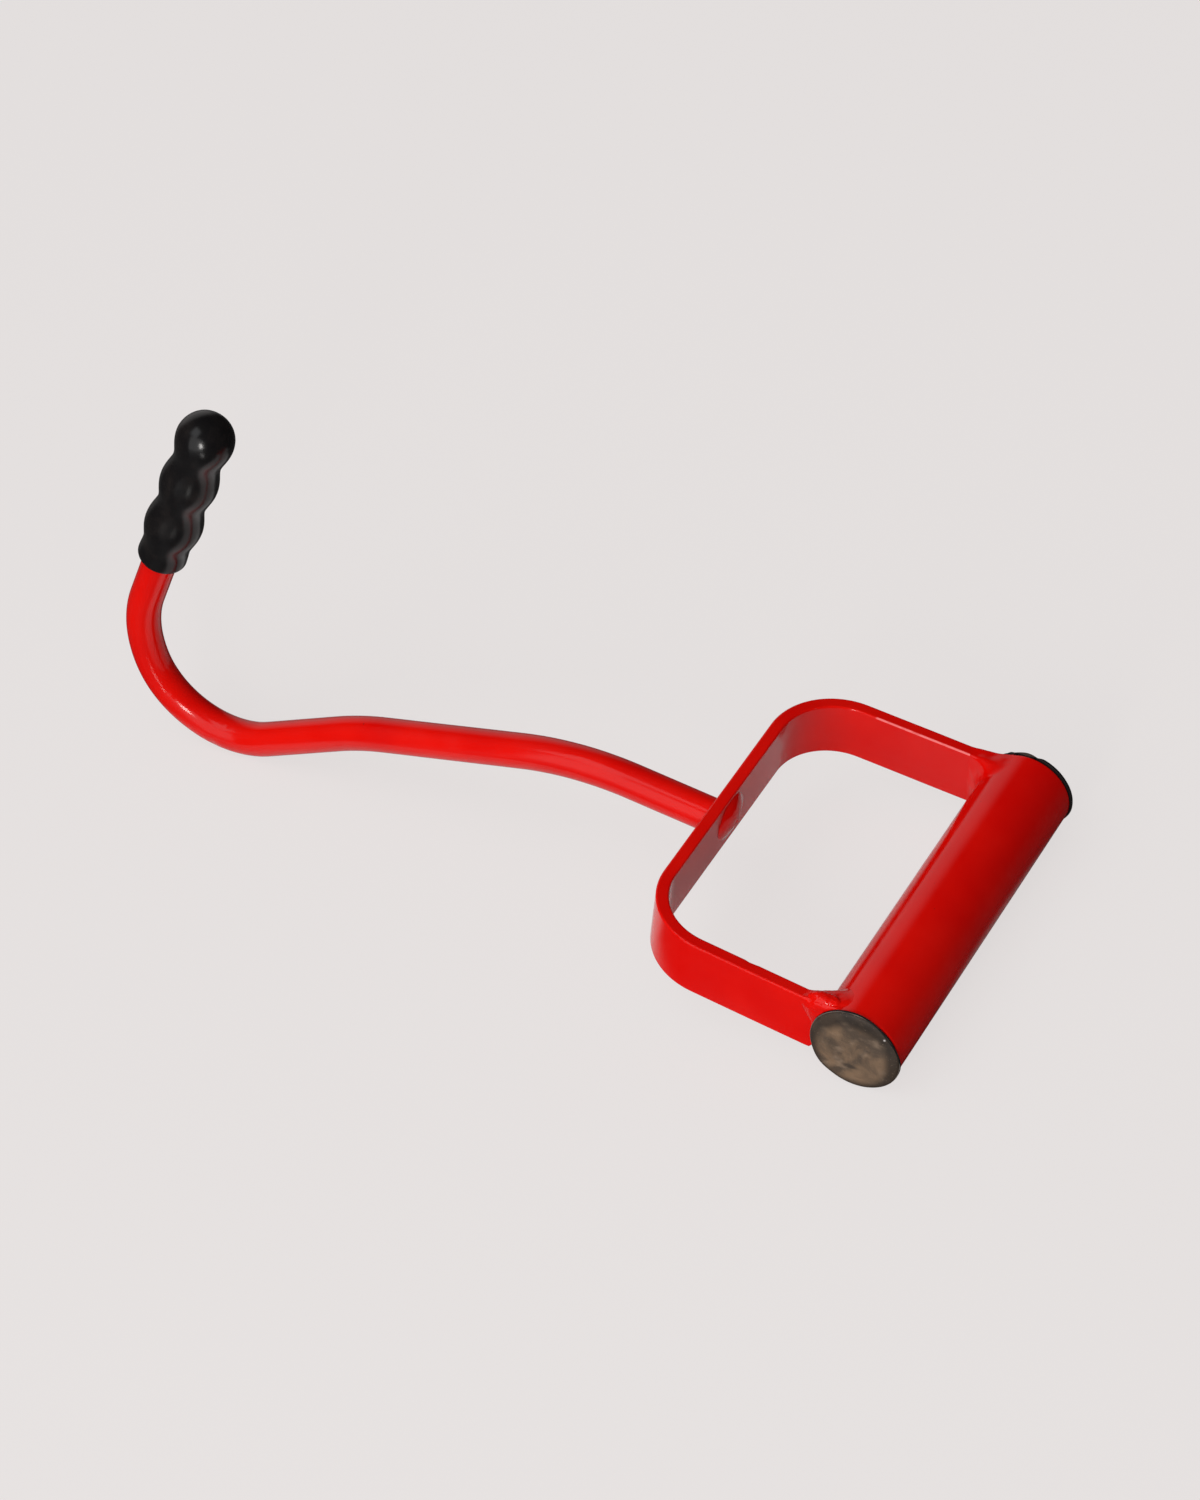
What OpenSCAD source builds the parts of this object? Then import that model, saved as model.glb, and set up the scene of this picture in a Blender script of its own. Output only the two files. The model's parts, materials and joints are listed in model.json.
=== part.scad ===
// Hay hook with a D-handle, lying on a level surface on its grip and on the belly of its hook.
// The handle frame has its origin on the grip's axis: X runs from the hook to the grip, Y along
// the grip and Z up. module at_rest() tilts and lifts that frame onto the surface.

/* [Grip tube] */
// Outer diameter of the grip tube
grip_d = 31.75; // [26:0.25:40]
// Wall of the grip tube
grip_wall = 2; // [1.2:0.1:4]
// Length of the grip tube
grip_len = 139.7; // [115:0.1:180]
// Bevel on the rims of the grip tube's ends
grip_bevel = 0.4; // [0.1:0.1:0.8]

/* [End plugs] */
// How far a plug's rim stands out past the tube
plug_lip = 0.75; // [0.5:0.05:3]
// Height of a plug's straight edge above the tube's end
plug_edge = 1; // [0.6:0.1:3]
// Rise of a plug's face from its edge to its flat middle
plug_rise = 1.3; // [0.3:0.1:3]
// Width of the rounded shoulder between a plug's edge and its flat middle
plug_shoulder = 5; // [2:0.5:8]
// Chamfer behind a plug's edge, which shows as a dark line at the tube
plug_back = 0.5; // [0.2:0.1:1]
// Thickness of a plug's floor inside the tube
plug_floor = 1.5; // [0.5:0.1:3]
// Length of a plug's stem inside the tube
plug_stem_len = 16; // [10:1:30]
// Wall of a plug's stem
plug_stem_wall = 2.4; // [1.5:0.1:4]
// Ribs round a plug's stem
plug_ribs = 3; // [2:1:4]
// How far a rib stands out of the stem
plug_rib_height = 0.8; // [0.4:0.1:1.2]
// Width of a rib
plug_rib_w = 1.4; // [0.8:0.1:2]
// Clearance between the ribs and the tube's bore
plug_fit = 0.05; // [0.02:0.01:0.2]

/* [Yoke] */
// Height of the flat bar
bar_h = 22.4; // [16:0.1:26]
// Thickness of the flat bar
bar_t = 4.6; // [3:0.1:8]
// Bevel along the edges of the flat bar
bar_bevel = 0.6; // [0.2:0.1:1]
// How much each face of a bar is drawn in where the bar is bent
bend_draw = 0.02; // [0.01:0.01:0.05]
// From the grip's axis to the outer face of the yoke's back
yoke_depth = 87.7; // [75:0.1:120]
// Outer radius of the yoke's two corners
yoke_corner_r = 26.2; // [14:0.1:40]
// How far an arm's outer face lies inside the tube's end, at the grip's axis
arm_inset = 0.8; // [0.5:0.1:6]
// Angle by which each arm opens towards the grip
arm_splay = 1.6; // [0:0.1:5]

/* [Hook rod] */
// Diameter of the round bar
rod_d = 12.7; // [9:0.1:16]
// Clearance between the bar and its hole in the yoke
rod_fit = 0.1; // [0.05:0.05:0.3]
// Straight run from the yoke to the first bend
shank_len = 31.7; // [10:0.1:80]
// Radius of the first bend, along the bar's axis
first_bend_r = 120; // [60:1:200]
// Angle of the first bend, downwards
first_bend_deg = 21.5; // [10:0.5:30]
// Straight run between the first and the second bend
middle_len = 58.4; // [20:0.1:120]
// Radius of the second bend
second_bend_r = 110; // [60:1:200]
// Angle of the second bend, downwards
second_bend_deg = 11; // [4:0.5:16]
// Straight run from the second bend to the belly
lower_len = 33.4; // [10:0.1:60]
// Radius of the belly, the tight bend at the bottom of the hook
belly_r = 34; // [26:0.5:50]
// Angle of the belly, upwards
belly_deg = 97.6; // [80:0.1:105]
// Radius of the wider bend that leads up to the guard
rise_r = 48; // [30:0.5:80]
// Angle of that bend, upwards
rise_deg = 39.4; // [25:0.1:50]
// Bare straight run from the last bend to the guard's rim
bare_len = 23.1; // [5:0.1:50]
// Length of bar inside the guard, with the point
point_reach = 64; // [52:0.5:68]
// Length of the tapered point
point_len = 36; // [20:1:44]
// Radius of the point's rounded end
point_r = 1.5; // [1:0.1:3]

/* [Tip guard] */
// Rubber wall round the bar at the guard's bulbs
guard_bulb_wall = 4.2; // [3:0.1:7]
// Rubber wall round the bar at the necks between bulbs
guard_neck_wall = 2.4; // [1.2:0.1:2.8]
// Rubber wall round the bar at the guard's open rim
guard_rim_wall = 2.7; // [1.5:0.1:5]
// Distance from one bulb's middle to the next
bulb_pitch = 23.4; // [20:0.1:30]
// Bulbs on the guard, with the ball at its end
bulb_count = 3; // [2:1:3]
// From the guard's rim to the neck under the lowest bulb
collar_len = 6.6; // [3:0.1:10]
// Clearance between the bar and the guard's bore
guard_gap = 0.2; // [0.1:0.05:0.5]

/* [Welds] */
// Radius of the weld bead round an arm's end
arm_weld_r = 3.4; // [2:0.1:4.5]
// Ripples of that bead up the arm's height
weld_ripples = 6; // [4:2:8]
// How far the crest of the bead round the bar's end stands off the yoke
rod_weld_h = 1.9; // [0.8:0.1:3]
// Width of the bead round the bar's end
rod_weld_w = 4.4; // [3:0.1:4.6]
// Thickness of weld over the bar's end, in the bead's hollow
rod_weld_floor = 0.5; // [0.3:0.1:0.8]

/* [Hidden] */
$fn = 64;

paint_red = [0.84, 0.08, 0.06];
weld_red = [0.78, 0.07, 0.05];
plug_grey = [0.40, 0.35, 0.29];
rubber_black = [0.10, 0.10, 0.11];

// Sizes that follow from the driving ones
grip_r = grip_d / 2;
bore_r = grip_r - grip_wall;
half_grip = grip_len / 2;
plug_rim_r = grip_r + plug_lip;
plug_land_r = plug_rim_r - plug_shoulder;
plug_stem_r = bore_r - plug_fit - plug_rib_height;
half_yoke = half_grip - arm_inset;
yoke_inner_x = -yoke_depth + bar_t;
rod_r = rod_d / 2;
guard_bore_r = rod_r + guard_gap;
bulb_r = rod_r + guard_bulb_wall;
neck_r = rod_r + guard_neck_wall;
rim_r = rod_r + guard_rim_wall;
ball_s = collar_len + (bulb_count - 0.5) * bulb_pitch;
// How far a straight run reaches into the bend beside it
run_lap = 0.1;

// Corner of the yoke: its centre of bend in the first quadrant of Y, and the arm's direction
corner_x = -yoke_depth + yoke_corner_r;
corner_y = half_yoke + (corner_x * sin(arm_splay) - yoke_corner_r) / cos(arm_splay);
arm_start_x = corner_x - yoke_corner_r * sin(arm_splay);
arm_run = -arm_start_x / cos(arm_splay);

// A station on the bar's axis is [x, z, heading], with the heading in degrees below -X
function along(s, len) = [s.x - len * cos(s.z), s.y - len * sin(s.z), s.z];
function bend_centre(s, r, turn) =
    [s.x + sign(turn) * r * sin(s.z), s.y - sign(turn) * r * cos(s.z)];
function past_bend(s, r, turn) =
    let (c = bend_centre(s, r, turn), h = s.z + turn)
    [c.x - sign(turn) * r * sin(h), c.y + sign(turn) * r * cos(h), h];

bar_end = [yoke_inner_x, 0, 0];
first_bend = along(bar_end, bar_t + shank_len);
middle = past_bend(first_bend, first_bend_r, first_bend_deg);
second_bend = along(middle, middle_len);
lower = past_bend(second_bend, second_bend_r, second_bend_deg);
belly = along(lower, lower_len);
rise = past_bend(belly, belly_r, -belly_deg);
tail = past_bend(rise, rise_r, -rise_deg);
guard_seat = along(tail, bare_len);
belly_centre = bend_centre(belly, belly_r, -belly_deg);
rise_centre = bend_centre(rise, rise_r, -rise_deg);

// Tilt that brings the plugs' rims and the belly to one level
rest_tilt = asin((belly_r + rod_r - plug_rim_r) / norm(belly_centre))
    - atan2(belly_centre.y, -belly_centre.x);

// Where an upward bend reaches furthest along -X once the frame is tilted
function tilted_x(p) = p.x * cos(rest_tilt) + p.y * sin(rest_tilt);
function bend_reach(centre, r, from, to) =
    tilted_x(centre) + r * sin(max(to - rest_tilt, min(from - rest_tilt, -90)));
hook_reach = min(
    bend_reach(belly_centre, belly_r, belly.z, rise.z),
    bend_reach(rise_centre, rise_r, rise.z, tail.z)
) - rod_r;
middle_x = (plug_rim_r + hook_reach) / 2;

// Puts the handle frame on the surface, with the origin under the middle of the box
module at_rest() {
    translate([-middle_x, 0, plug_rim_r])
        rotate([0, rest_tilt, 0])
            children();
}

// Turns Z to Y, for what is turned about the grip's axis
module along_grip() {
    rotate([-90, 0, 0]) children();
}

// Straight piece of bar from a station, lapped into the bend at its far end, and into one
// at its near end if lap_near is set
module bar_run(s, len, lap_near = run_lap) {
    translate([s.x, 0, s.y])
        rotate([0, -(90 + s.z), 0])
            translate([0, 0, -lap_near])
                cylinder(h = len + lap_near + run_lap, r = rod_r);
}

// Bent piece of bar from a station
module bar_bend(s, r, turn) {
    c = bend_centre(s, r, turn);
    translate([c.x, 0, c.y])
        rotate([90, 0, 0])
            rotate([0, 0, sign(turn) * 90 + s.z + min(turn, 0)])
                rotate_extrude(angle = abs(turn))
                    translate([r, 0])
                        circle(r = rod_r - bend_draw);
}

// Last straight run and the tapered point with its rounded end, from a station
module bar_point(s, straight) {
    steps = 6;
    taper = asin((rod_r - point_r) / point_len);
    tip_z = straight + point_len - point_r;
    tip_arc = [
        for (i = [0:steps - 1])
            let (a = taper + (90 - taper) * i / steps)
            [point_r * cos(a), tip_z + point_r * sin(a)]
    ];
    translate([s.x, 0, s.y])
        rotate([0, -(90 + s.z), 0])
            rotate_extrude()
                polygon(concat(
                    [[0, -run_lap], [rod_r, -run_lap], [rod_r, straight]],
                    tip_arc,
                    [[0, tip_arc[steps - 1].y]]
                ));
}

// Section of the flat bar, from the outer face at x = 0 inwards, about y = 0
module bar_section(draw = 0) {
    out = -draw;
    in = draw - bar_t;
    top = bar_h / 2 - draw;
    polygon([
        [out, top - bar_bevel],
        [out - bar_bevel, top],
        [in + bar_bevel, top],
        [in, top - bar_bevel],
        [in, bar_bevel - top],
        [in + bar_bevel, -top],
        [out - bar_bevel, -top],
        [out, bar_bevel - top]
    ]);
}

// One arm of flat bar on the far side, from the corner up to the grip's axis and past it by grow
module far_arm(grow = 0) {
    translate([corner_x, corner_y, 0])
        rotate([0, 0, 90 + arm_splay])
            translate([yoke_corner_r, run_lap, 0])
                rotate([90, 0, 0])
                    linear_extrude(height = arm_run + run_lap + grow)
                        bar_section();
}

module far_corner() {
    translate([corner_x, corner_y, 0])
        rotate([0, 0, 90 + arm_splay])
            rotate_extrude(angle = 90 - arm_splay)
                translate([yoke_corner_r, 0])
                    bar_section(bend_draw);
}

module yoke_back() {
    translate([-yoke_depth, 0, 0])
        rotate([90, 0, 180])
            linear_extrude(height = 2 * (corner_y + run_lap), center = true)
                bar_section();
}

// U of flat bar, with its arms' ends shaped to the tube and a hole for the hook's bar
module yoke() {
    color(paint_red)
        at_rest()
            difference() {
                union() {
                    yoke_back();
                    for (side = [0, 1])
                        mirror([0, side, 0]) {
                            far_corner();
                            far_arm();
                        }
                }
                along_grip()
                    cylinder(h = 2 * grip_len, r = grip_r, center = true);
                translate([-yoke_depth, 0, 0])
                    rotate([0, 90, 0])
                        cylinder(h = 4 * bar_t, r = rod_r + rod_fit, center = true);
            }
}

module grip_tube() {
    color(paint_red)
        at_rest()
            along_grip()
                rotate_extrude()
                    polygon([
                        [bore_r, -half_grip],
                        [grip_r - grip_bevel, -half_grip],
                        [grip_r, -half_grip + grip_bevel],
                        [grip_r, half_grip - grip_bevel],
                        [grip_r - grip_bevel, half_grip],
                        [bore_r, half_grip]
                    ]);
}

// Ribbed plug for the far end of the tube, with its seat at the tube's end
module far_plug() {
    steps = 6;
    rib_pitch = plug_stem_len / (plug_ribs + 1);
    rib_r = bore_r - plug_fit;
    shoulder = [
        for (i = [0:steps])
            [
                plug_land_r + plug_shoulder * sin(90 * i / steps),
                plug_edge + plug_rise * cos(90 * i / steps)
            ]
    ];
    ribs = [
        for (i = [1:plug_ribs])
            each [
                [plug_stem_r, -i * rib_pitch + plug_rib_w / 2],
                [rib_r, -i * rib_pitch + plug_rib_w / 4],
                [rib_r, -i * rib_pitch - plug_rib_w / 4],
                [plug_stem_r, -i * rib_pitch - plug_rib_w / 2]
            ]
    ];
    translate([0, half_grip, 0])
        along_grip()
            rotate_extrude()
                polygon(concat(
                    [[0, -plug_floor], [0, plug_edge + plug_rise]],
                    shoulder,
                    [[plug_rim_r, plug_back], [plug_rim_r - plug_back, 0], [plug_stem_r, 0]],
                    ribs,
                    [
                        [plug_stem_r, -plug_stem_len],
                        [plug_stem_r - plug_stem_wall, -plug_stem_len],
                        [plug_stem_r - plug_stem_wall, -plug_floor]
                    ]
                ));
}

module end_plug_far() {
    color(plug_grey) at_rest() far_plug();
}

module end_plug_near() {
    color(plug_grey) at_rest() mirror([0, 1, 0]) far_plug();
}

// Bent round bar, from its end in the yoke to its point inside the guard
module hook_rod() {
    color(paint_red)
        at_rest() {
            bar_run(bar_end, bar_t + shank_len, 0);
            bar_bend(first_bend, first_bend_r, first_bend_deg);
            bar_run(middle, middle_len);
            bar_bend(second_bend, second_bend_r, second_bend_deg);
            bar_run(lower, lower_len);
            bar_bend(belly, belly_r, -belly_deg);
            bar_run(rise, 0);
            bar_bend(rise, rise_r, -rise_deg);
            bar_point(tail, bare_len + point_reach - point_len);
        }
}

// Outer radius of the guard at a distance from its rim
function guard_r(s) =
    s < collar_len
        ? neck_r + (rim_r - neck_r) * (1 + cos(180 * s / collar_len)) / 2
        : s < ball_s
            ? neck_r + (bulb_r - neck_r) * (1 - cos(360 * (s - collar_len) / bulb_pitch)) / 2
            : sqrt(max(0, bulb_r * bulb_r - (s - ball_s) * (s - ball_s)));

// Rubber guard of three bulbs, pushed over the point
module tip_guard() {
    collar_steps = 4;
    bulb_steps = 12 * bulb_count - 6;
    ball_steps = 8;
    crown = ball_s + bulb_r * sin(90 - 45 / ball_steps);
    outline = concat(
        [for (i = [0:collar_steps - 1]) collar_len * i / collar_steps],
        [for (i = [0:bulb_steps - 1]) collar_len + (ball_s - collar_len) * i / bulb_steps],
        [for (i = [0:ball_steps - 1]) ball_s + bulb_r * sin(90 * i / ball_steps)],
        [crown]
    );
    bore_depth = point_reach + guard_gap;
    color(rubber_black)
        at_rest()
            translate([guard_seat.x, 0, guard_seat.y])
                rotate([0, -(90 + guard_seat.z), 0])
                    rotate_extrude()
                        polygon(concat(
                            [[guard_bore_r, 0]],
                            [for (s = outline) [guard_r(s), s]],
                            [[0, crown], [0, bore_depth], [guard_bore_r, bore_depth]]
                        ));
}

// Rippled bead round the far arm's end, where it meets the tube
module far_arm_weld() {
    arm_mid = half_yoke - bar_t / 2;
    difference() {
        union() {
            for (i = [0:weld_ripples]) {
                z = bar_h * (i / weld_ripples - 0.5);
                x = -sqrt(grip_r * grip_r - z * z);
                for (side = [-1, 1])
                    translate([x, arm_mid + side * bar_t / 2, z])
                        sphere(r = arm_weld_r * (i % 2 == 0 ? 1 : 0.94));
            }
            for (side = [-1, 1])
                translate([-sqrt(grip_r * grip_r - bar_h * bar_h / 4), arm_mid, side * bar_h / 2])
                    sphere(r = arm_weld_r);
        }
        along_grip()
            cylinder(h = 2 * grip_len, r = grip_r, center = true);
        far_arm(grip_r);
        translate([-grip_d, half_grip, -grip_d])
            cube(2 * grip_d);
    }
}

module arm_weld_far() {
    color(weld_red) at_rest() far_arm_weld();
}

module arm_weld_near() {
    color(weld_red) at_rest() mirror([0, 1, 0]) far_arm_weld();
}

// Crater of weld over the bar's end, on the inner face of the yoke's back
module rod_weld() {
    steps = 8;
    crest_r = rod_r + rod_weld_w / 4;
    bead = [
        for (i = [0:steps])
            [
                crest_r + rod_weld_w / 2 * cos(180 * (1 - i / steps)),
                max(i < steps / 2 ? rod_weld_floor : 0, rod_weld_h * sin(180 * i / steps))
            ]
    ];
    color(weld_red)
        at_rest()
            translate([yoke_inner_x, 0, 0])
                rotate([0, 90, 0])
                    rotate_extrude()
                        polygon(concat([[0, 0], [0, rod_weld_floor]], bead));
}

grip_tube();
end_plug_near();
end_plug_far();
yoke();
hook_rod();
tip_guard();
arm_weld_near();
arm_weld_far();
rod_weld();
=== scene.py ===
"""Looks of a hay hook: a red D-handle and hook, dusty end plugs and a rubber guard on the point.

Lengths are in metres and angles in degrees, unless a name says otherwise. Shapes are worked out in
the handle frame: its origin lies on the grip's axis, with X from the hook to the grip, Y along the
grip and Z up. HandleFrame lays that frame on the floor.
"""

import json
import logging
import math
from collections.abc import Sequence
from dataclasses import dataclass
from enum import Enum
from typing import NamedTuple

import bmesh
import bpy
from mathutils import Matrix, Vector, noise


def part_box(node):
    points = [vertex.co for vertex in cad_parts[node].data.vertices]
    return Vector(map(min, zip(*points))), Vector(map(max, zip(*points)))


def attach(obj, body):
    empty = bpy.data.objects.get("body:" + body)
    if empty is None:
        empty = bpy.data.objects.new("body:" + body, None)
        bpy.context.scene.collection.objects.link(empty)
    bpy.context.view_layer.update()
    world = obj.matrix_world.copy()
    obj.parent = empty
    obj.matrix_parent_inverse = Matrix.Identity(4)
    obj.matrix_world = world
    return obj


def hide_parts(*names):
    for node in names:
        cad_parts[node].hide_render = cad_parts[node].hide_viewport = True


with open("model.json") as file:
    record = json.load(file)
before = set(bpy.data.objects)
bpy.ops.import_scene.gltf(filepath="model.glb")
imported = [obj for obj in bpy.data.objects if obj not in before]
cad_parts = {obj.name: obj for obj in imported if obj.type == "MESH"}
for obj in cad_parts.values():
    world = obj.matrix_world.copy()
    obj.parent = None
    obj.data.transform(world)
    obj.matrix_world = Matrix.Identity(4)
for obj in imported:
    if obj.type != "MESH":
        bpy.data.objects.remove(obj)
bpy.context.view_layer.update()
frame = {"record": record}

log = logging.getLogger("hay_hook")

MM = 0.001
Colour = tuple[float, float, float]


class Body(Enum):
    """Bodies of the frame that a piece rides on."""

    FRAME = "frame"
    GUARD = "guard"


class Slot(Enum):
    """Material slots of the record."""

    PAINT = "red_paint"
    PLASTIC = "plug_plastic"
    RUBBER = "guard_rubber"


class End(Enum):
    """Ends of the grip, each with the sign of its Y."""

    NEAR = -1
    FAR = 1

    @property
    def mirrored(self) -> Matrix:
        """Turns what is drawn for the far end into this end's."""
        return Matrix.Diagonal((1, self.value, 1, 1))


# Placing


@dataclass(frozen=True)
class HandleFrame:
    """Where the handle frame lies, read from the grip and from the shank's mount.

    Args:
        origin: Middle of the grip's axis.
        tilt: Turn about Y that lowers the hook to the floor, in radians.
    """

    origin: Vector
    tilt: float

    @classmethod
    def from_cad(cls) -> "HandleFrame":
        """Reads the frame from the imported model.

        Returns:
            The handle frame at rest.
        """
        low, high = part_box("grip_tube")
        shank = next(m for m in frame["record"]["mounts"] if m["name"] == "shank")
        axis = shank["axis"]
        return cls(origin=(low + high) / 2, tilt=math.atan2(axis[2], -axis[0]))

    @property
    def matrix(self) -> Matrix:
        """Takes a place in the handle frame to the row frame."""
        return Matrix.Translation(self.origin) @ Matrix.Rotation(self.tilt, 4, "Y")


ALONG_GRIP = Matrix.Rotation(math.radians(-90), 4, "X")


class Station(NamedTuple):
    """A place on the bar's axis, with the heading in radians below -X."""

    x: float
    z: float
    heading: float

    @property
    def matrix(self) -> Matrix:
        """Puts a Z axis on the bar's axis, heading along it."""
        turn = Matrix.Rotation(-(math.pi / 2 + self.heading), 4, "Y")
        return Matrix.Translation((self.x, 0, self.z)) @ turn


@dataclass(frozen=True)
class Stretch:
    """A straight run of bar, or a bend where it turns.

    Args:
        length: Length of a straight run.
        radius: Radius of a bend, along the bar's axis.
        turn: Angle of a bend, downwards.
    """

    length: float = 0.0
    radius: float = 0.0
    turn: float = 0.0

    @property
    def reach(self) -> float:
        """Length along the bar's axis."""
        return self.length if self.radius == 0 else self.radius * abs(math.radians(self.turn))

    def follow(self, start: Station, distance: float) -> Station:
        """Goes along the stretch.

        Args:
            start: Where the stretch starts.
            distance: How far to go.

        Returns:
            The station there.
        """
        if self.radius == 0:
            x = start.x - distance * math.cos(start.heading)
            z = start.z - distance * math.sin(start.heading)
            return Station(x, z, start.heading)
        side = math.copysign(self.radius, self.turn)
        heading = start.heading + distance / side
        x = start.x + side * (math.sin(start.heading) - math.sin(heading))
        z = start.z - side * (math.cos(start.heading) - math.cos(heading))
        return Station(x, z, heading)


# Outlines


class Spot(NamedTuple):
    """A point of an outline, and how much of a worn edge it is, from 0 to 1."""

    across: float
    along: float
    edge: float = 0.0


class Corner(NamedTuple):
    """A corner of an outline, and the radius that rounds it."""

    across: float
    along: float
    radius: float = 0.0


def rounded(corners: Sequence[Corner], steps: int = 4) -> list[Spot]:
    """Rounds the corners of a closed outline.

    Args:
        corners: The corners in order. One with no radius stays sharp.
        steps: Steps along each rounding.

    Returns:
        Points of the outline, with one close on each side of every rounding.
    """
    # Distance from a rounding to the point beside it, as a share of the radius
    support = 0.4
    outline = []
    for index, corner in enumerate(corners):
        here = Vector(corner[:2])
        if corner.radius == 0:
            outline.append(Spot(here.x, here.y))
            continue
        back = (Vector(corners[index - 1][:2]) - here).normalized()
        ahead = (Vector(corners[(index + 1) % len(corners)][:2]) - here).normalized()
        half = back.angle(ahead) / 2
        reach = corner.radius / math.tan(half)
        middle = here + (back + ahead).normalized() * corner.radius / math.sin(half)
        first = here + back * reach - middle
        last = here + ahead * reach - middle
        start = math.atan2(first.y, first.x)
        sweep = (math.atan2(last.y, last.x) - start + math.pi) % math.tau - math.pi
        before = here + back * (reach + support * corner.radius)
        after = here + ahead * (reach + support * corner.radius)
        outline.append(Spot(before.x, before.y))
        for step in range(steps + 1):
            angle = start + sweep * step / steps
            x = middle.x + corner.radius * math.cos(angle)
            y = middle.y + corner.radius * math.sin(angle)
            outline.append(Spot(x, y, math.sin(math.pi * (step + 0.5) / (steps + 1))))
        outline.append(Spot(after.x, after.y))
    return outline


def divided(outline: Sequence[Spot], longest: float, closed: bool = True) -> list[Spot]:
    """Divides the long stretches of an outline.

    Args:
        outline: Its points.
        longest: Longest stretch that stays.
        closed: Whether the last point joins the first.

    Returns:
        The points with the new ones between them.
    """
    result = []
    tolerance = 1e-6
    for index, here in enumerate(outline):
        result.append(here)
        if index == len(outline) - 1 and not closed:
            break
        after = outline[(index + 1) % len(outline)]
        gap = math.dist(here[:2], after[:2])
        parts = math.ceil(gap / longest - tolerance)
        for part in range(1, parts):
            share = part / parts
            x = here.across + (after.across - here.across) * share
            y = here.along + (after.along - here.along) * share
            result.append(Spot(x, y))
    return result


def eased(share: float) -> float:
    """Smooth step from 0 to 1."""
    share = min(1.0, max(0.0, share))
    return share * share * (3 - 2 * share)


# Meshes


@dataclass(frozen=True)
class Dent:
    """A small dent, or a bump where its depth is below zero.

    Args:
        place: Middle of the dent, in the handle frame.
        radius: Reach of the dent.
        depth: How far the surface is pushed in at the middle.
    """

    place: tuple[float, float, float]
    radius: float
    depth: float


class Waver(NamedTuple):
    """How a surface wanders a little from its true form.

    Args:
        height: Most that a point moves.
        size: Distance from one swell to the next.
        seed: Chooses the pattern.
    """

    height: float
    size: float
    seed: float


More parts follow.
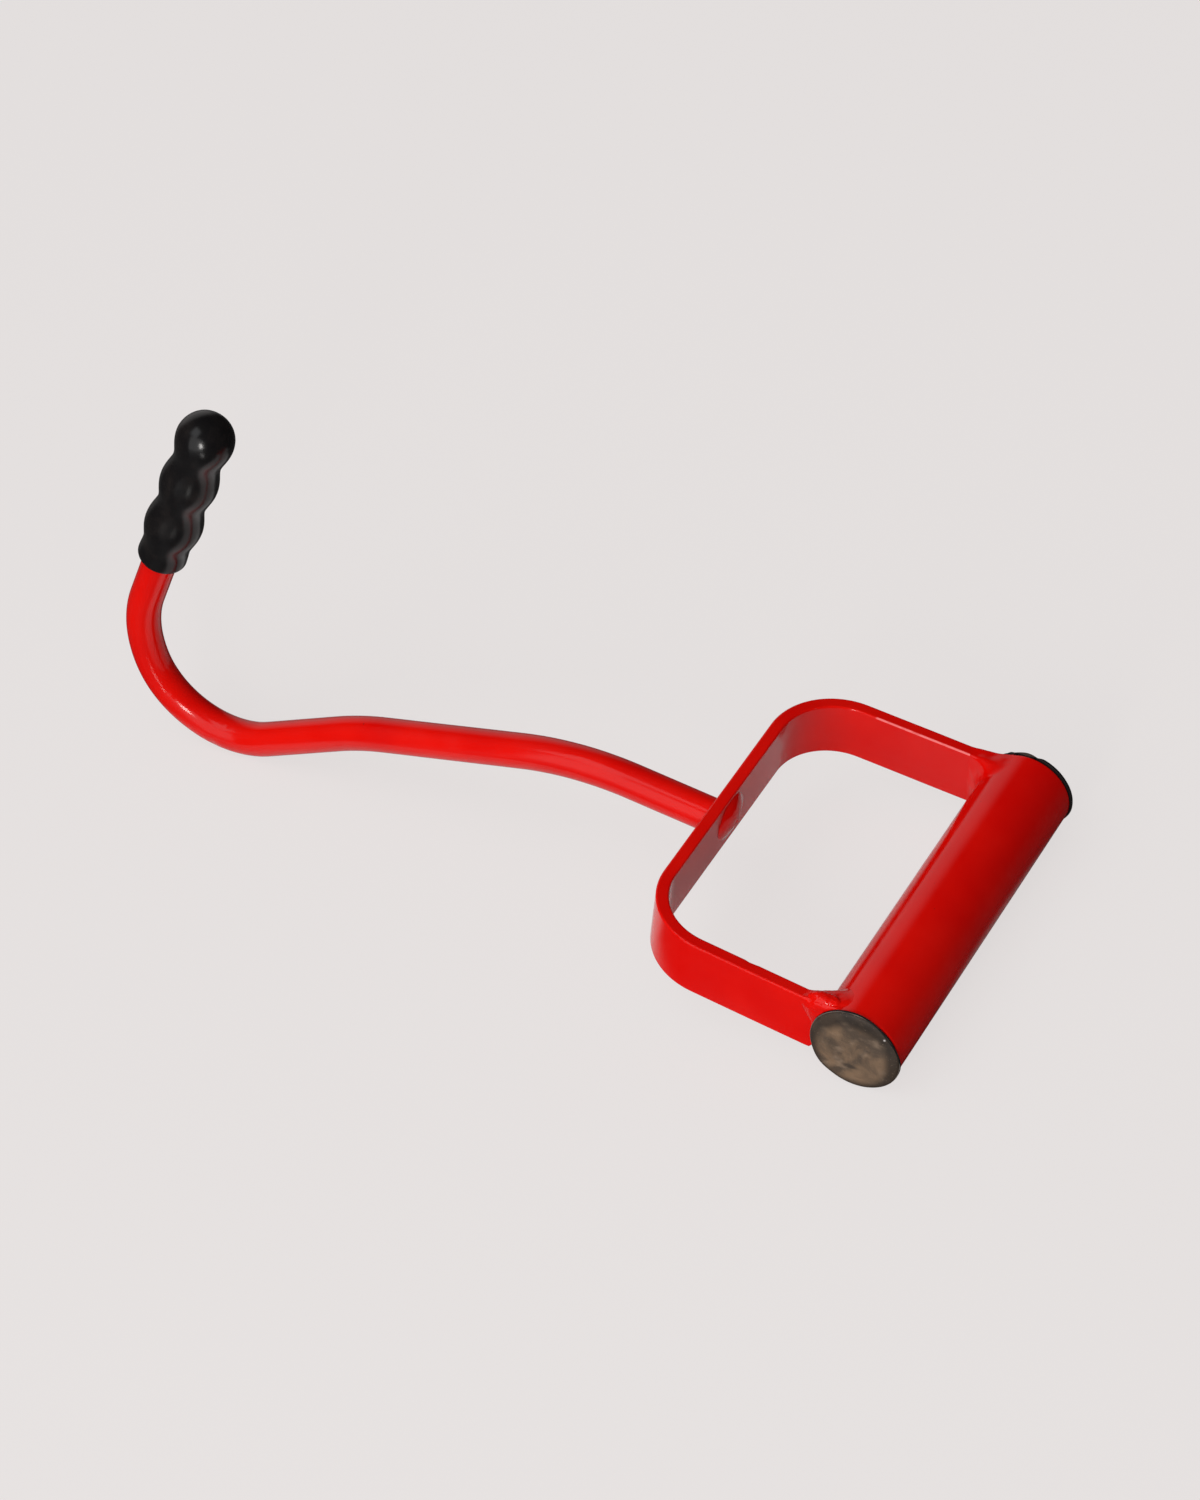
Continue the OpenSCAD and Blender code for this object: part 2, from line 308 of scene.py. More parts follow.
class Shell:
    """A mesh under construction, in the handle frame unless a piece says otherwise."""

    def __init__(self) -> None:
        """Starts an empty mesh that keeps a value at each point for edge wear and for the painted
        highlight line.
        """
        self.mesh = bmesh.new()
        self.edge = self.mesh.verts.layers.float.new("edge")

    def point(self, place: Vector | tuple[float, float, float], edge: float = 0.0) -> bmesh.types.BMVert:
        """Adds a point.

        Args:
            place: Where it goes.
            edge: Its wear, which is 1 on a worn edge, and 2 to mark where the paint draws a painted
                highlight line.

        Returns:
            The new point.
        """
        vert = self.mesh.verts.new(place)
        vert[self.edge] = edge
        return vert

    def skin(self, rings: Sequence[Sequence[bmesh.types.BMVert]], round_rings: bool = True,
             closed: bool = False) -> None:
        """Spans faces between rings of points. A ring of one point is a pole.

        Args:
            rings: The rings in order.
            round_rings: Whether each ring's last point joins its first.
            closed: Whether the last ring joins the first.
        """
        pairs = list(zip(rings, rings[1:]))
        if closed:
            pairs.append((rings[-1], rings[0]))
        for low, high in pairs:
            count = max(len(low), len(high))
            for index in range(count if round_rings else count - 1):
                after = (index + 1) % count
                corners = []
                for ring, step in ((low, index), (low, after), (high, after), (high, index)):
                    vert = ring[step % len(ring)]
                    if vert not in corners:
                        corners.append(vert)
                self.mesh.faces.new(corners)

    def revolve(self, outline: Sequence[Spot], sides: int, place: Matrix, closed: bool = True) -> None:
        """Turns an outline round the Z axis of a place.

        Args:
            outline: Radius and height of each point.
            sides: Points round the axis.
            place: Where the axis lies.
            closed: Whether the outline's last point joins its first.
        """
        rings = []
        for spot in outline:
            if spot.across == 0:
                rings.append([self.point(place @ Vector((0, 0, spot.along)), spot.edge)])
                continue
            ring = []
            for side in range(sides):
                angle = math.tau * side / sides
                x = spot.across * math.cos(angle)
                y = spot.across * math.sin(angle)
                ring.append(self.point(place @ Vector((x, y, spot.along)), spot.edge))
            rings.append(ring)
        self.skin(rings, closed=closed)

    def lid(self, ring: Sequence[bmesh.types.BMVert]) -> None:
        """Closes a ring with a fan about its middle.

        Args:
            ring: The ring's points in order.
        """
        middle = self.point(sum((v.co for v in ring), Vector()) / len(ring))
        for index, vert in enumerate(ring):
            self.mesh.faces.new((vert, ring[(index + 1) % len(ring)], middle))

    def face_outwards(self) -> None:
        """Points every face outwards."""
        bmesh.ops.recalc_face_normals(self.mesh, faces=self.mesh.faces)
        self.mesh.normal_update()

    def waver(self, waver: Waver, more_seed: float = 0.0) -> None:
        """Lets the surface wander along its normals.

        Args:
            waver: How it wanders.
            more_seed: Added to the seed, so that two like pieces differ.
        """
        seed = waver.seed + more_seed
        unlike_steps = (1.0, 1.7, 2.3)
        shift = Vector([seed * step for step in unlike_steps])
        self.face_outwards()
        moves = [v.normal * waver.height * noise.noise(v.co / waver.size + shift) for v in self.mesh.verts]
        for vert, move in zip(self.mesh.verts, moves):
            vert.co += move

    def press(self, dents: Sequence[Dent]) -> None:
        """Presses dents into the surface, against its normals.

        Args:
            dents: The dents and bumps.
        """
        self.face_outwards()
        for dent in dents:
            middle = Vector(dent.place)
            near = [v for v in self.mesh.verts if (v.co - middle).length < dent.radius]
            moves = [eased(1 - (v.co - middle).length / dent.radius) * dent.depth for v in near]
            for vert, move in zip(near, moves):
                vert.co -= vert.normal * move

    def finish(self, name: str, place: Matrix, sharp: float = 40.0) -> bpy.types.Object:
        """Makes the object, with its place in its mesh.

        Args:
            name: Name of the object.
            place: Takes the mesh to the row frame.
            sharp: Angle past which an edge stays sharp.

        Returns:
            The new object.
        """
        self.mesh.transform(place)
        self.face_outwards()
        data = bpy.data.meshes.new(name)
        self.mesh.to_mesh(data)
        self.mesh.free()
        return smooth_object(name, data, sharp)


def smooth_object(name: str, data: bpy.types.Mesh, sharp: float = 40.0) -> bpy.types.Object:
    """Puts a mesh in the scene with smooth faces.

    Args:
        name: Name of the object.
        data: The mesh.
        sharp: Angle past which an edge stays sharp.

    Returns:
        The new object.
    """
    data.polygons.foreach_set("use_smooth", [True] * len(data.polygons))
    data.set_sharp_from_angle(angle=math.radians(sharp))
    made = bpy.data.objects.new(name, data)
    bpy.context.scene.collection.objects.link(made)
    return made


# Node trees


class Grain(NamedTuple):
    """A noise pattern with a real size.

    Args:
        size: Distance from one blob to the next.
        detail: Finer layers.
        roughness: Weight of the finer layers.
        seed: Chooses the pattern, with the finish's own seed.
        bend: How much the pattern is distorted.
    """

    size: float
    detail: float = 2.0
    roughness: float = 0.5
    seed: float = 0.0
    bend: float = 0.0


class Ease(NamedTuple):
    """A range of a value, and what its two ends are eased to.

    Args:
        low: Where the range starts.
        high: Where it ends.
        to_low: Result at the start.
        to_high: Result at the end.
    """

    low: float
    high: float
    to_low: float = 0.0
    to_high: float = 1.0


class Wiring:
    """Adds nodes to a tree and links them."""

    def __init__(self, tree: bpy.types.NodeTree) -> None:
        """Starts on an empty tree."""
        self.tree = tree
        self.tree.nodes.clear()

    def node(self, kind: str, sockets: dict | None = None, **settings: object) -> bpy.types.Node:
        """Adds a node.

        Args:
            kind: Blender's name for the kind of node.
            sockets: Value or incoming socket for each input, by name or by number.
            **settings: Properties of the node.

        Returns:
            The new node.
        """
        made = self.tree.nodes.new(kind)
        for name, value in settings.items():
            setattr(made, name, value)
        for key, value in (sockets or {}).items():
            if isinstance(value, bpy.types.NodeSocket):
                self.tree.links.new(value, made.inputs[key])
            else:
                made.inputs[key].default_value = value
        return made

    def combine(self, operation: str, first: object, second: object) -> bpy.types.NodeSocket:
        """Works out one value from two values or sockets."""
        return self.node("ShaderNodeMath", {0: first, 1: second}, operation=operation).outputs[0]

    def vector(self, operation: str, first: object, second: object = (0, 0, 0)) -> bpy.types.NodeSocket:
        """Works out a vector, or a value for a length or a dot product, from one or two vectors."""
        made = self.node("ShaderNodeVectorMath", {0: first, 1: second}, operation=operation)
        return made.outputs["Value" if operation in ("LENGTH", "DOT_PRODUCT") else "Vector"]

    def ease(self, value: bpy.types.NodeSocket, over: Ease) -> bpy.types.NodeSocket:
        """Eases a value from one range to another."""
        sockets = {0: value, 1: over.low, 2: over.high, 3: over.to_low, 4: over.to_high}
        return self.node("ShaderNodeMapRange", sockets, interpolation_type="SMOOTHSTEP").outputs[0]


class ShaderWiring(Wiring):
    """Nodes that the finishes share."""

    def __init__(self, name: str) -> None:
        """Starts a material with nothing but its output.

        Args:
            name: Name of the material.
        """
        self.material = bpy.data.materials.new(name)
        self.material.use_nodes = True
        super().__init__(self.material.node_tree)
        self.output = self.node("ShaderNodeOutputMaterial")

    def place(self, centre: Vector | None = None, stretch: Sequence[float] = (1, 1, 1),
              turn: float = 0.0) -> bpy.types.NodeSocket:
        """Object coordinates, moved so that the centre is at zero, turned about Y and stretched.

        Args:
            centre: Middle of the pattern, in the row frame.
            stretch: Scale along each axis.
            turn: Turn about Y that undoes the handle's tilt, in radians.

        Returns:
            The coordinates.
        """
        where = self.node("ShaderNodeTexCoord").outputs["Object"]
        if centre is not None:
            away = {0: where, "Location": -centre}
            where = self.node("ShaderNodeMapping", away).outputs[0]
        if turn or tuple(stretch) != (1, 1, 1):
            laid = {0: where, "Rotation": (0, turn, 0), "Scale": stretch}
            where = self.node("ShaderNodeMapping", laid).outputs[0]
        return where

    def wear_and_highlight(self) -> bpy.types.NodeSocket:
        """Wear of the surface, 1 on a worn edge, and 2 to mark where a painted highlight line goes."""
        return self.node("ShaderNodeAttribute", attribute_name="edge").outputs["Fac"]

    def noise(self, place: bpy.types.NodeSocket, grain: Grain, seed: float) -> bpy.types.NodeSocket:
        """Noise with a real size.

        Args:
            place: Coordinates.
            grain: The pattern.
            seed: The finish's seed, which is added to the pattern's own.

        Returns:
            A value near 0.5.
        """
        sockets = {"Vector": place, "W": grain.seed + seed, "Scale": 1 / grain.size}
        sockets |= {"Detail": grain.detail, "Roughness": grain.roughness, "Distortion": grain.bend}
        return self.node("ShaderNodeTexNoise", sockets, noise_dimensions="4D").outputs[0]

    def blend(self, share: object, first: object, second: object) -> bpy.types.NodeSocket:
        """Mixes two colours.

        Args:
            share: How much of the second colour shows.
            first: The first colour, or a socket.
            second: The second colour, or a socket.

        Returns:
            The mixed colour.
        """
        sides = [c if isinstance(c, bpy.types.NodeSocket) else (*c, 1.0) for c in (first, second)]
        sockets = {0: share, 6: sides[0], 7: sides[1]}
        return self.node("ShaderNodeMix", sockets, data_type="RGBA").outputs[2]

    def bump(self, height: bpy.types.NodeSocket, distance: float,
             under: bpy.types.NodeSocket | None = None) -> bpy.types.NodeSocket:
        """Turns a height into a normal.

        Args:
            height: Height from 0 to 1.
            distance: Real height of 1.
            under: Normal of a coarser bump below this one.

        Returns:
            The normal.
        """
        sockets = {"Height": height, "Distance": distance, "Strength": 1.0}
        if under is not None:
            sockets["Normal"] = under
        return self.node("ShaderNodeBump", sockets).outputs[0]

    def finish(self, **sockets: object) -> bpy.types.Material:
        """Adds the surface shader.

        Args:
            **sockets: Values or sockets of the shader, with underscores for spaces.

        Returns:
            The finished material.
        """
        named = {name.replace("_", " "): value for name, value in sockets.items()}
        surface = self.node("ShaderNodeBsdfPrincipled", named)
        self.tree.links.new(surface.outputs[0], self.output.inputs["Surface"])
        return self.material


# Finishes


@dataclass(frozen=True)
class RedEnamel:
    """Glossy red enamel sprayed over steel, chipped along its edges, with a painted highlight line along
    one edge.

    Args:
        colour: Red of a good coat.
        thick: Red where the coat is thick.
        grime: What has settled on it.
        primer: What shows through a chip.
        painted_highlight: Pale pink painted highlight along the edge marked 2.
        drift: Slow change between the two reds.
        thickened: Share of the thick red over the drift.
        specks: Specks of grime.
        speckled: Share of grime over the specks.
        flakes: Where a worn edge loses its paint.
        chipped: Share of primer over wear times flakes.
        highlight_mark: Share of painted highlight over the wear value, which is 2 on that edge.
        highlight_breakup: How much of the painted highlight stays over the flakes.
        scuffs: Slow change of the gloss.
        gloss: Roughness over the scuffs.
        chip_rough: Roughness that a chip adds.
        peel: Ripple of the orange peel.
        peel_height: Height of the orange peel.
        coat: Thickness of the coat at a chip.
        ior: Refractive index.
        seed: Chooses the patterns.
    """

    colour: Colour = (0.76, 0.0050, 0.0020)
    thick: Colour = (0.68, 0.0020, 0.0006)
    grime: Colour = (0.17, 0.012, 0.008)
    primer: Colour = (0.33, 0.24, 0.23)
    # Painted highlight: the pale pink drawn along the edge that carries the mark 2.
    painted_highlight: Colour = (0.92, 0.20, 0.20)
    drift: Grain = Grain(38 * MM, 3)
    thickened: Ease = Ease(0.35, 0.66)
    specks: Grain = Grain(2.1 * MM, 1, seed=3)
    speckled: Ease = Ease(0.79, 0.83, 0, 0.7)
    flakes: Grain = Grain(3.4 * MM, 4, 0.6, seed=5)
    chipped: Ease = Ease(0.67, 0.70)
    highlight_mark: Ease = Ease(1.3, 1.9)
    highlight_breakup: Ease = Ease(0.30, 0.50, 0.55, 1.0)
    scuffs: Grain = Grain(9 * MM, 5, 0.62, seed=7, bend=0.4)
    gloss: Ease = Ease(0.3, 0.75, 0.11, 0.20)
    chip_rough: float = 0.3
    peel: Grain = Grain(2.2 * MM, 2, seed=9)
    peel_height: float = 0.005 * MM
    coat: float = 0.05 * MM
    ior: float = 1.38
    seed: float = 0.0

    def material(self) -> bpy.types.Material:
        """Builds the paint: drifting depth of red, specks, edge chips, a painted highlight line, scuffs
        and orange peel.

        Returns:
            The finished material.
        """
        paint = ShaderWiring("red_enamel")
        place = paint.place()
        depth = paint.ease(paint.noise(place, self.drift, self.seed), self.thickened)
        red = paint.blend(depth, self.colour, self.thick)
        speck = paint.ease(paint.noise(place, self.specks, self.seed), self.speckled)
        red = paint.blend(speck, red, self.grime)
        wear_and_highlight = paint.wear_and_highlight()
        flake = paint.noise(place, self.flakes, self.seed)
        wear_and_sheen = paint.combine("MINIMUM", wear_and_highlight, 1.0)
        chip = paint.ease(paint.combine("MULTIPLY", wear_and_sheen, flake), self.chipped)
        red = paint.blend(chip, red, self.primer)
        # Painted highlight: a pale pink line, broken a little by the flakes, where the mark is 2.
        edge_highlight = paint.ease(wear_and_highlight, self.highlight_mark)
        edge_highlight = paint.combine("MULTIPLY", edge_highlight, paint.ease(flake, self.highlight_breakup))
        red = paint.blend(edge_highlight, red, self.painted_highlight)
        rough = paint.ease(paint.noise(place, self.scuffs, self.seed), self.gloss)
        rough = paint.combine("ADD", rough, paint.combine("MULTIPLY", chip, self.chip_rough))
        relief = paint.bump(paint.noise(place, self.peel, self.seed), self.peel_height)
        relief = paint.bump(paint.combine("SUBTRACT", 1.0, chip), self.coat, relief)
        return paint.finish(Base_Color=red, Roughness=rough, Normal=relief, IOR=self.ior)


@dataclass(frozen=True)
class Mark:
    """A smudge on a plug's face, or a pale dot of painted highlight on it.

    Args:
        across: Distance along X from the face's middle.
        up: Distance above the middle.
        length: Half of its length.
        width: Half of its width.
        lean: How far its length leans from X, in degrees.
        colour: Its colour.
        strength: How much of the dust it covers.
        core: Share of its size inside which it covers fully.
    """

    across: float
    up: float
    length: float
    width: float
    lean: float
    colour: Colour
    strength: float
    core: float = 0.3


@dataclass(frozen=True)
class DustyPlastic:
    """Black plastic plug whose face has gone brown-grey with dust and handling, with painted shade towards
    its rim and a painted highlight along its lip.

    Args:
        centre: Middle of the tube's end, in the row frame.
        face_y: Height above the tube's end at which the dusty face starts.
        radius: Radius of the face.
        tilt: The handle's tilt, in radians.
        marks: Smudges, and pale dots of painted highlight, on the face.
        seed: Chooses the patterns.
        black: The plastic itself.
        dust: Dust on most of the face.
        pale_dust: Thicker and paler dust.
        dark_dust: Thin dust that shows the plastic.
        shaded_rim: Near black of the painted shade towards the rim.
        wear_and_sheen: Pale scuffs along the lip, which also stand in for the lip's highlight as painted
            highlight.
        mottle: Patches of thin and thick dust.
        dusted: Share of dust over the mottle.
        streaks: Paler streaks.
        streak_stretch: How much the streaks are drawn together along each axis.
        streaked: Share of pale dust over the streaks.
        shade_ring_middle: Middle of the ring of painted shade, across and up from the face's middle.
        ragged: How far the painted shade's inner edge wanders with the mottle.
        shade_band: Where the painted shade starts and where it is full, as shares of the radius.
        shade_strength: How much of the dust the painted shade covers at its fullest.
        lip_scuff_and_sheen: Share of the lip's scuffs and painted highlight over the mottle.
        lip_sheen_cover: How pale the lip's scuffs and painted highlight get.
        grit: Fine grains of dust.
        gritty: Share of pale dust over the grit.
        face_fade: Height over which the face's dust starts.
        gloss: Roughness over the mottle.
        mottle_height: Height of the mottle.
        grit_height: Height of the grit.
        ior: Refractive index.
    """

    centre: Vector
    face_y: float
    radius: float
    tilt: float
    marks: tuple[Mark, ...] = ()
    seed: float = 0.0
    black: Colour = (0.006, 0.005, 0.005)
    dust: Colour = (0.205, 0.130, 0.078)
    pale_dust: Colour = (0.300, 0.215, 0.150)
    dark_dust: Colour = (0.085, 0.060, 0.043)
    # Painted shade: near black towards the rim, over the rounded shoulder.
    shaded_rim: Colour = (0.020, 0.015, 0.012)
    # Pale scuffs on the lip, which also serve as a painted highlight there.
    wear_and_sheen: Colour = (0.26, 0.22, 0.20)
    mottle: Grain = Grain(10.5 * MM, 4, 0.55, bend=0.5)
    dusted: Ease = Ease(0.38, 0.62)
    streaks: Grain = Grain(8 * MM, 3, 0.5, seed=2)
    streak_stretch: tuple[float, float, float] = (1, 1, 1.5)
    streaked: Ease = Ease(0.50, 0.74, 0, 0.60)
    shade_ring_middle: tuple[float, float] = (-0.4 * MM, -1.9 * MM)
    ragged: float = 7 * MM
    shade_band: tuple[float, float] = (0.64, 0.90)
    shade_strength: float = 0.85
    lip_scuff_and_sheen: Ease = Ease(0.36, 0.56)
    lip_sheen_cover: float = 0.8
    grit: Grain = Grain(0.55 * MM, 2, seed=4)
    gritty: Ease = Ease(0.62, 0.8, 0, 0.6)
    face_fade: float = 0.12 * MM
    gloss: Ease = Ease(0.3, 0.7, 0.48, 0.72)
    mottle_height: float = 0.10 * MM
    grit_height: float = 0.025 * MM
    ior: float = 1.40

    def material(self, name: str) -> bpy.types.Material:
        """Builds the plastic: mottled dust on the face, painted shade towards the rim, pale scuffs along
        the lip that also paint its highlight, and grains.

        Args:
            name: Name of the material.

        Returns:
            The finished material.
        """
        plug = ShaderWiring(name)
        place = plug.place()
        local = plug.place(self.centre, turn=-self.tilt)
        mottle = plug.noise(place, self.mottle, self.seed)
        dust_and_shading = plug.blend(plug.ease(mottle, self.dusted), self.dark_dust, self.dust)
        streak = plug.noise(plug.place(stretch=self.streak_stretch), self.streaks, self.seed)
        dust_and_shading = plug.blend(plug.ease(streak, self.streaked), dust_and_shading, self.pale_dust)
        # Painted shade: the dust darkens to near black towards the rim.
        dust_and_shading = plug.blend(self.rim_shade(plug, local, mottle), dust_and_shading, self.shaded_rim)
        # Smudges, and pale dots of painted highlight near the near plug's rim.
        dust_and_shading = self.marked(plug, local, dust_and_shading)
        # Pale scuffs along the lip, which also paint the lip's highlight.
        lip_scuff_and_sheen = plug.combine("MULTIPLY", plug.wear_and_highlight(), plug.ease(mottle, self.lip_scuff_and_sheen))
        dust_and_shading = plug.blend(plug.combine("MULTIPLY", lip_scuff_and_sheen, self.lip_sheen_cover), dust_and_shading, self.wear_and_sheen)
        grit = plug.noise(place, self.grit, self.seed)
        dust_and_shading = plug.blend(plug.ease(grit, self.gritty), dust_and_shading, self.pale_dust)
        height = plug.node("ShaderNodeSeparateXYZ", {0: local}).outputs["Y"]
        proud = plug.combine("MULTIPLY", height, math.copysign(1.0, self.centre.y))
        faced = plug.ease(proud, Ease(self.face_y, self.face_y + self.face_fade))
        colour = plug.blend(faced, self.black, dust_and_shading)
        rough = plug.ease(mottle, self.gloss)
        relief = plug.bump(mottle, self.mottle_height)
        relief = plug.bump(grit, self.grit_height, relief)
        return plug.finish(Base_Color=colour, Roughness=rough, Normal=relief, IOR=self.ior)

    def rim_shade(self, plug: ShaderWiring, local: bpy.types.NodeSocket,
              mottle: bpy.types.NodeSocket) -> bpy.types.NodeSocket:
        """Works out where painted shade darkens the face towards its rim.

        Args:
            plug: The material's wiring.
            local: Coordinates about the face's middle.
            mottle: Pattern that makes the painted shade's inner edge ragged.

        Returns:
            How much of the dust the painted shade covers.
        """
        across, up = self.shade_ring_middle
        about = {0: local, "Location": (-across, 0, -up)}
        off_centre = plug.node("ShaderNodeMapping", about).outputs[0]
        away = plug.vector("LENGTH", plug.vector("MULTIPLY", off_centre, (1, 0, 1)))
        wander = plug.combine("MULTIPLY", plug.combine("SUBTRACT", mottle, 0.5), self.ragged)
        starts, ends = self.shade_band
        rim = Ease(self.radius * starts, self.radius * ends)
        # Painted shade: none near the middle, and full over the rim's rounded shoulder.
        bare = plug.ease(plug.combine("ADD", away, wander), rim)
        return plug.combine("MULTIPLY", bare, self.shade_strength)

    def marked(self, plug: ShaderWiring, local: bpy.types.NodeSocket,
               dust_and_shading: bpy.types.NodeSocket) -> bpy.types.NodeSocket:
        """Lays smudges and pale dots of painted highlight on the dust.

        Args:
            plug: The material's wiring.
            local: Coordinates about the face's middle.
            dust_and_shading: Colour of the dust, with its painted shade.

        Returns:
            The colour with its marks.
        """
        for mark in self.marks:
            about = Vector((-mark.across, 0, -mark.up))
            moved = plug.node("ShaderNodeMapping", {0: local, "Location": about}).outputs[0]
            lean = (0, math.radians(mark.lean), 0)
            laid = plug.node("ShaderNodeMapping", {0: moved, "Rotation": lean}).outputs[0]
            shrink = (1 / mark.length, 0, 1 / mark.width)
            away = plug.vector("LENGTH", plug.vector("MULTIPLY", laid, shrink))
            cover = plug.ease(away, Ease(1.0, mark.core, 0, mark.strength))
            dust_and_shading = plug.blend(cover, dust_and_shading, mark.colour)
        return dust_and_shading


@dataclass(frozen=True)
class BlackRubber:
    """Satin black rubber with a little bloom and dust.

    Args:
        colour: Black of the rubber.
        bloom: Grey where it has bloomed.
        dust: Colour of the dust specks.
        patches: Slow change from black to bloom.
        bloomed: Share of bloom over the patches.
        specks: Dust specks.
        speckled: Share of dust over the specks.
        gloss: Roughness over the patches.
        mould: Uneven surface that the mould left.
        mould_height: Height of that unevenness.
        skin: Fine grain of the rubber.
        skin_height: Height of the fine grain.
        ior: Refractive index.
        seed: Chooses the patterns.
    """

    colour: Colour = (0.0065, 0.0060, 0.0065)
    bloom: Colour = (0.014, 0.0115, 0.011)
    dust: Colour = (0.10, 0.085, 0.08)
    patches: Grain = Grain(11 * MM, 4, 0.6, bend=0.5)
    bloomed: Ease = Ease(0.42, 0.68)
    specks: Grain = Grain(1.1 * MM, 1, seed=2)
    speckled: Ease = Ease(0.80, 0.84, 0, 0.5)
    gloss: Ease = Ease(0.3, 0.7, 0.19, 0.28)
    mould: Grain = Grain(3.2 * MM, 3, 0.6, seed=4)
    mould_height: float = 0.03 * MM
    skin: Grain = Grain(0.4 * MM, 2, seed=6)
    skin_height: float = 0.006 * MM
    ior: float = 1.43
    seed: float = 0.0

    def material(self) -> bpy.types.Material:
        """Builds the rubber: blooming patches, dust specks and a fine moulded grain.

        Returns:
            The finished material.
        """
        rubber = ShaderWiring("guard_rubber")
        place = rubber.place()
        patch = rubber.noise(place, self.patches, self.seed)
        black = rubber.blend(rubber.ease(patch, self.bloomed), self.colour, self.bloom)
        speck = rubber.ease(rubber.noise(place, self.specks, self.seed), self.speckled)
        black = rubber.blend(speck, black, self.dust)
        rough = rubber.ease(patch, self.gloss)
        relief = rubber.bump(rubber.noise(place, self.mould, self.seed), self.mould_height)
        relief = rubber.bump(rubber.noise(place, self.skin, self.seed), self.skin_height, relief)
        return rubber.finish(Base_Color=black, Roughness=rough, Normal=relief, IOR=self.ior)


# Geometry trees


def start_tree(name: str, sizes: dict[str, str]) -> tuple[Wiring, bpy.types.Node]:
    """Starts a geometry tree.

    Args:
        name: Name of the tree.
        sizes: Kind of socket for each named input.

    Returns:
        The wiring, and the tree's input node.
    """
    tree = bpy.data.node_groups.new(name, "GeometryNodeTree")
    tree.interface.new_socket("Geometry", in_out="INPUT", socket_type="NodeSocketGeometry")
    for socket, kind in sizes.items():
        tree.interface.new_socket(socket, in_out="INPUT", socket_type="NodeSocket" + kind)
    tree.interface.new_socket("Geometry", in_out="OUTPUT", socket_type="NodeSocketGeometry")
    wiring = Wiring(tree)
    return wiring, wiring.node("NodeGroupInput")


def end_tree(wiring: Wiring, shape: bpy.types.NodeSocket, given: bpy.types.Node) -> bpy.types.NodeTree:
    """Ends a geometry tree with smooth, real and dressed faces.

    Args:
        wiring: The tree's wiring.
        shape: What it has made.
        given: The tree's input node, with an input named Finish.

    Returns:
        The tree.
    """
    smooth = wiring.node("GeometryNodeSetShadeSmooth", {"Geometry": shape}).outputs[0]
    real = wiring.node("GeometryNodeRealizeInstances", {"Geometry": smooth}).outputs[0]
    finish = {"Geometry": real, "Material": given.outputs["Finish"]}
    dressed = wiring.node("GeometryNodeSetMaterial", finish)
    wiring.node("NodeGroupOutput", {0: dressed.outputs[0]})
    return wiring.tree


def rib_tree() -> bpy.types.NodeTree:
    """Makes the tree that stacks ribs down the Z axis.

    Returns:
        The tree, with an input for each size.
    """
    wiring, given = start_tree("stem_ribs", {
        "Ribs": "Int", "Pitch": "Float", "Radius": "Float", "Width": "Float", "Height": "Float",
        "Finish": "Material",
    })
    sizes = given.outputs
    ring_points, crest_points = 96, 12
    step = wiring.node("ShaderNodeCombineXYZ", {
        "Z": wiring.combine("MULTIPLY", sizes["Pitch"], -1.0),
    }).outputs[0]
    stack = wiring.node("GeometryNodeMeshLine", {
        "Count": sizes["Ribs"], "Start Location": step, "Offset": step,
    }).outputs[0]
    ring = wiring.node("GeometryNodeCurvePrimitiveCircle", {
        "Resolution": ring_points, "Radius": sizes["Radius"],
    }).outputs[0]
    crest = wiring.node("GeometryNodeCurvePrimitiveCircle", {
        "Resolution": crest_points, "Radius": 1.0,
    }).outputs[0]
    squash = wiring.node("ShaderNodeCombineXYZ", {
        "X": sizes["Height"], "Y": wiring.combine("MULTIPLY", sizes["Width"], 0.5), "Z": 1.0,
    }).outputs[0]
    crest = wiring.node("GeometryNodeTransform", {"Geometry": crest, "Scale": squash}).outputs[0]
    rib = wiring.node("GeometryNodeCurveToMesh", {"Curve": ring, "Profile Curve": crest}).outputs[0]
    ribs = wiring.node("GeometryNodeInstanceOnPoints", {"Points": stack, "Instance": rib}).outputs[0]
    return end_tree(wiring, ribs, given)


def bar_tree() -> bpy.types.NodeTree:
    """Makes the tree that sweeps round bar along a path and lets its surface wander a little.

    Returns:
        The tree, with an input for each size. The path's points hold the bar's radius there as a share.
    """
    wiring, given = start_tree("bent_bar", {
        "Radius": "Float", "Sides": "Int", "Waver": "Float", "Waver size": "Float", "Seed": "Float",
        "Finish": "Material",
    })
    sizes = given.outputs
    path = wiring.node("GeometryNodeMeshToCurve", {0: sizes["Geometry"]}).outputs[0]
    section = wiring.node("GeometryNodeCurvePrimitiveCircle", {
        "Resolution": sizes["Sides"], "Radius": sizes["Radius"],
    }).outputs[0]
    share = wiring.node("GeometryNodeInputNamedAttribute", {"Name": "share"}, data_type="FLOAT").outputs[0]
    bar = wiring.node("GeometryNodeCurveToMesh", {
        "Curve": path, "Profile Curve": section, "Scale": share, "Fill Caps": True,
    }).outputs[0]
    swell = wiring.node("ShaderNodeTexNoise", {
        "W": sizes["Seed"], "Scale": wiring.combine("DIVIDE", 1.0, sizes["Waver size"]), "Detail": 1.0,
    }, noise_dimensions="4D").outputs[0]
    high = wiring.combine("MULTIPLY", wiring.combine("SUBTRACT", swell, 0.5), sizes["Waver"])
    out = wiring.node("GeometryNodeInputNormal").outputs[0]
    move = wiring.node("ShaderNodeVectorMath", {0: out, "Scale": high}, operation="SCALE").outputs[0]
    wavy = wiring.node("GeometryNodeSetPosition", {"Geometry": bar, "Offset": move}).outputs[0]
    return end_tree(wiring, wavy, given)


